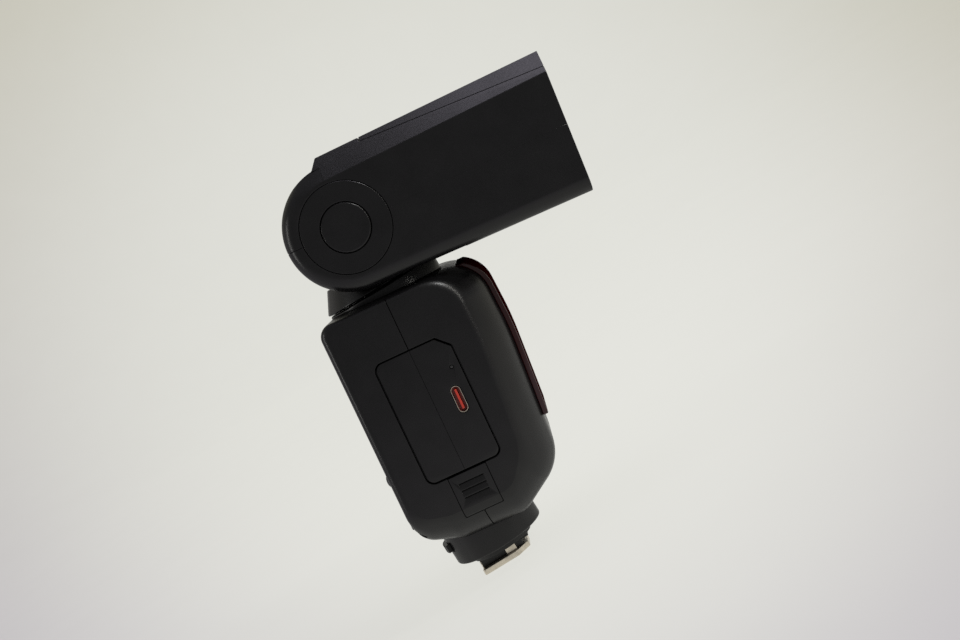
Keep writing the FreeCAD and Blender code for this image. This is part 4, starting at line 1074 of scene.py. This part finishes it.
def head_trim():
    """Side caps, with the lock button in the right one, and the lens in its bezel."""
    outer = HEAD_HALF - 0.05
    cap = puck(CAP_R, (0, -36.45, 0), (0, -outer, 0), 0.25)
    cap = cut(cap, head_rod(BUTTON_R + 0.2, -60, 0))
    finish_piece(cap, "right_side_cap", HEAD, "head", SHELL, ["right_cap"], 0.35)
    button = puck(BUTTON_R, (0, -33.0, 0), (0, -outer, 0), 0.6)
    button = fuse(button, head_rod(9.4, -34.7, -33.2))
    finish_piece(button, "lock_button_cap", HEAD, "head_lock", SHELL, ["lock_button"], 0.0)
    left = puck(CAP_R, (0, 36.45, 0), (0, outer, 0), 0.25)
    left = cut(left, cut(head_rod(8.45, outer - 0.3, 50), head_rod(7.9, outer - 1, 60)))
    finish_piece(left, "left_side_cap", HEAD, "head", SHELL, ["left_cap"], 0.1)

    half = [(33.2, -19.8), (35.2, -18.1), (35.2, 0), (34.8, 15.0), (31.8, 17.8)]
    window = half + [(-y, z) for y, z in reversed(half)]
    pitch, depth = 1.25, 0.45
    ribs = []
    level = -19.5
    while level < 17.4:
        ribs += [(LENS[0] + depth, level), (LENS[0] + 0.02, level + pitch / 2)]
        level += pitch
    profile = [(LENS[1], -20.0), (LENS[0] + depth, -20.0)] + ribs + [(LENS[0] + depth, 18.0), (LENS[1], 18.0)]
    lens = common(sharp(profile, "xz", -36, 36), sharp(window, "yz", LENS[0], LENS[1]))
    finish_piece(lens, "lens_panel", HEAD, "head", LENS_CLEAR, ["fresnel_lens"], 0.0)
    frame_piece = cut(sharp(window, "yz", LENS[1] + 0.1, LENS[1] + 1.0),
                      plate(-32.0, 32.0, -16.8, 14.6, 1.5, "yz", 60, 90))
    finish_piece(frame_piece, "lens_frame", HEAD, "head", TRIM, ["lens_bezel"], 0.2)


def panels():
    """Wide panel and bounce card in their slot, each with a notch for a fingertip."""
    wide = plate(24.0, 77.0, -26.4, 26.4, 2.0, "xy", 20.45, 21.65)
    ribs = []
    for k in range(30):
        x = 28.0 + 1.5 * k
        ribs.append(sharp([(x, 20.40), (x + 0.75, 20.62), (x + 1.5, 20.40)], "xz", -23.5, 23.5))
    wide = cut(wide, ribs + [z_rod(4.0, 79.2, 0, 19, 23, 64)])
    finish_piece(wide, "wide_panel_sheet", HEAD, "diffuser", PANEL_CLEAR, ["wide_panel"], 0.12)
    card = plate(24.0, 76.8, -26.0, 26.0, 2.0, "xy", 21.85, 22.55)
    card = cut(card, z_rod(6.0, 80.6, 0, 20, 24, 64))
    finish_piece(card, "bounce_card_sheet", HEAD, "card", WHITE, ["bounce_card"], 0.1)


def inner_parts():
    """CAD pieces whose shape is right keep it, and take a finished material."""
    finishes = {
        BOARD: ("main_board", "power_board", "trigger_board"),
        CAN: ("capacitors",), CELL: ("battery_cells",), LAMP: ("assist_lamp",),
        TRIM: ("battery_bay", "zoom_carriage"), BRASS: ("battery_contacts",),
        STEEL: ("lock_pin", "swivel_plate", "tilt_axle", "guide_rods", "zoom_motor", "lead_screw"),
        MIRROR: ("reflector",), TUBE_GLASS: ("flash_tube",),
    }
    for material, names in finishes.items():
        for name in names:
            slots = frame["nodes"][name].data.materials
            for index in range(len(slots)):
                slots[index] = material


# ---------------------------------------------------------------- studio
# The camera looks at the battery's side of the flash, level with the casing's top and rolled.
CAMERA_PLACE = (0.06099, -0.50862, 0.11594)
CAMERA_LOOK = (-0.05079, 0.99540, -0.08128)
CAMERA_UP = (0.52748, 0.09585, 0.84414)
CAMERA_LENS = 56.25
OBJECT_MIDDLE = (0.02, 0.0, 0.08)

# The sweep's gradient is fixed in the room. It is laid out for the camera above: its middle is about
# where that camera stands, and its halo and its warm side follow that camera's directions.
GLOW_PLACE = (0.06, -0.51, 0.12)
LIT_SIDE = (-0.30, 0.95, -0.05)  # the sweep is dimmest opposite this


def facing(tree, direction):
    """Cosine between direction and the way from GLOW_PLACE to each point of the sweep."""
    place = node(tree, "TexCoord").outputs["Object"]
    away = node(tree, "VectorMath", {0: place, 1: GLOW_PLACE}, operation="SUBTRACT")
    unit = node(tree, "VectorMath", {0: away.outputs["Vector"]}, operation="NORMALIZE")
    return node(tree, "VectorMath", {0: unit.outputs["Vector"], 1: direction},
                operation="DOT_PRODUCT").outputs["Value"]


def stage_material():
    """Glowing paper: palest behind the object, warmer above, cooler below and dimmer in front."""
    material, tree = new_material("studio_sweep")
    behind = facing(tree, CAMERA_LOOK)
    halo = ramp(tree, behind, 0.0, 1.0, 0.92, 1.0, "SMOOTHSTEP")
    tone = mix(tree, ramp(tree, facing(tree, CAMERA_UP), 0.0, 1.0, -0.35, 0.32, "SMOOTHSTEP"),
               colour(0.50, 0.48, 0.505), colour(0.54, 0.525, 0.44))
    tone = mix(tree, halo, tone, colour(0.71, 0.71, 0.665))
    tone = mix(tree, ramp(tree, facing(tree, LIT_SIDE), 0.0, 1.0, 0.20, 0.85, "SMOOTHSTEP"),
               colour(0.24, 0.24, 0.24), tone)
    tone = mix(tree, ramp(tree, noise(tree, 60.0, 4.0), 0.0, 0.012), tone, colour(1, 1, 1))
    principled(tree, Base_Color=colour(0.07, 0.07, 0.07), Roughness=0.9, Specular_IOR_Level=0.05,
               Emission_Color=tone, Emission_Strength=1.0,
               Normal=bump(tree, noise(tree, 1.2, 3.0), 0.02))
    return material


def studio():
    """Pale sweep that curves up all round, so that no edge of the floor shows from any side."""
    ground = cad_box[0][2] / MM
    floor_r, wall_r, wall_h = 1500.0, 900.0, 2600.0
    profile = [(1.0, 0.0), (floor_r, 0.0)]
    profile += [(floor_r + wall_r * math.sin(a), wall_r * (1 - math.cos(a)))
                for a in (math.radians(7.5 * k) for k in range(1, 13))]
    profile += [(floor_r + wall_r, wall_r + wall_h)]
    bm = bmesh.new()
    sides = 96
    rows = [[bm.verts.new((r * math.cos(2 * math.pi * k / sides), r * math.sin(2 * math.pi * k / sides),
                           ground + h)) for k in range(sides)] for r, h in profile]
    for row, following in zip(rows, rows[1:]):
        for i in range(sides):
            bm.faces.new((row[i], row[(i + 1) % sides], following[(i + 1) % sides], following[i]))
    bm.faces.new(rows[0])
    sweep = solid(bm)
    sweep.name = "studio_sweep"
    sweep.data.transform(Matrix.Scale(MM, 4))
    sweep.data.materials.append(stage_material())
    sweep.data.shade_smooth()


LIGHTS = (  # name, place, width, height, watts, tint
    ("overhead_softbox", (0.62, -0.02, 0.80), 0.30, 0.26, 2.6, (0.90, 0.87, 1.0)),
    ("ceiling_panel", (0.42, 0.0, 1.20), 0.60, 0.50, 2.6, (0.90, 0.85, 1.0)),
    ("left_strip", (-0.80, -0.20, 0.34), 0.10, 0.6, 1.2, (1.0, 0.99, 0.95)),
    ("right_strip", (0.72, -0.46, 0.34), 0.05, 0.6, 1.6, (1.0, 0.97, 0.90)),
    ("edge_light", (0.57, -0.45, 0.63), 0.12, 0.12, 2.4, (1.0, 1.0, 1.0)),
)
WORLD_TINT = (0.96, 0.95, 1.0, 1.0)
WORLD_STRENGTH = 0.26


def lights():
    """Softboxes turned to face the object, in a dim even room."""
    scene = bpy.context.scene
    scene.world = bpy.data.worlds.new("studio_world")
    scene.world.use_nodes = True
    room = scene.world.node_tree.nodes["Background"].inputs
    room["Color"].default_value = WORLD_TINT
    room["Strength"].default_value = WORLD_STRENGTH
    scene.view_settings.view_transform = "Standard"
    for name, place, width, height, watts, tint in LIGHTS:
        data = bpy.data.lights.new(name, "AREA")
        data.shape = "RECTANGLE"
        data.size, data.size_y = width, height
        data.energy = watts
        data.color = tint
        light = bpy.data.objects.new(name, data)
        scene.collection.objects.link(light)
        light.location = place
        light.rotation_euler = (Vector(OBJECT_MIDDLE) - light.location).to_track_quat("-Z", "Y").to_euler()


def camera():
    data = bpy.data.cameras.new("camera")
    data.lens = CAMERA_LENS
    data.sensor_width = 36.0
    data.clip_start = 0.01
    obj = bpy.data.objects.new("camera", data)
    bpy.context.scene.collection.objects.link(obj)
    back = -Vector(CAMERA_LOOK).normalized()
    right = Vector(CAMERA_UP).cross(back).normalized()
    up = back.cross(right)
    turn = Matrix((right, up, back)).transposed().to_4x4()
    obj.matrix_world = Matrix.Translation(CAMERA_PLACE) @ turn
    bpy.context.scene.camera = obj


camera()
housings()
casing_screws()
front_window()
display()
battery()
latch()
function_keys()
small_keys()
power_switch()
dial()
side_ports()
foot_collar()
lock_lever()
shoe()
swivel()
head_shells()
head_trim()
panels()
inner_parts()
studio()
lights()
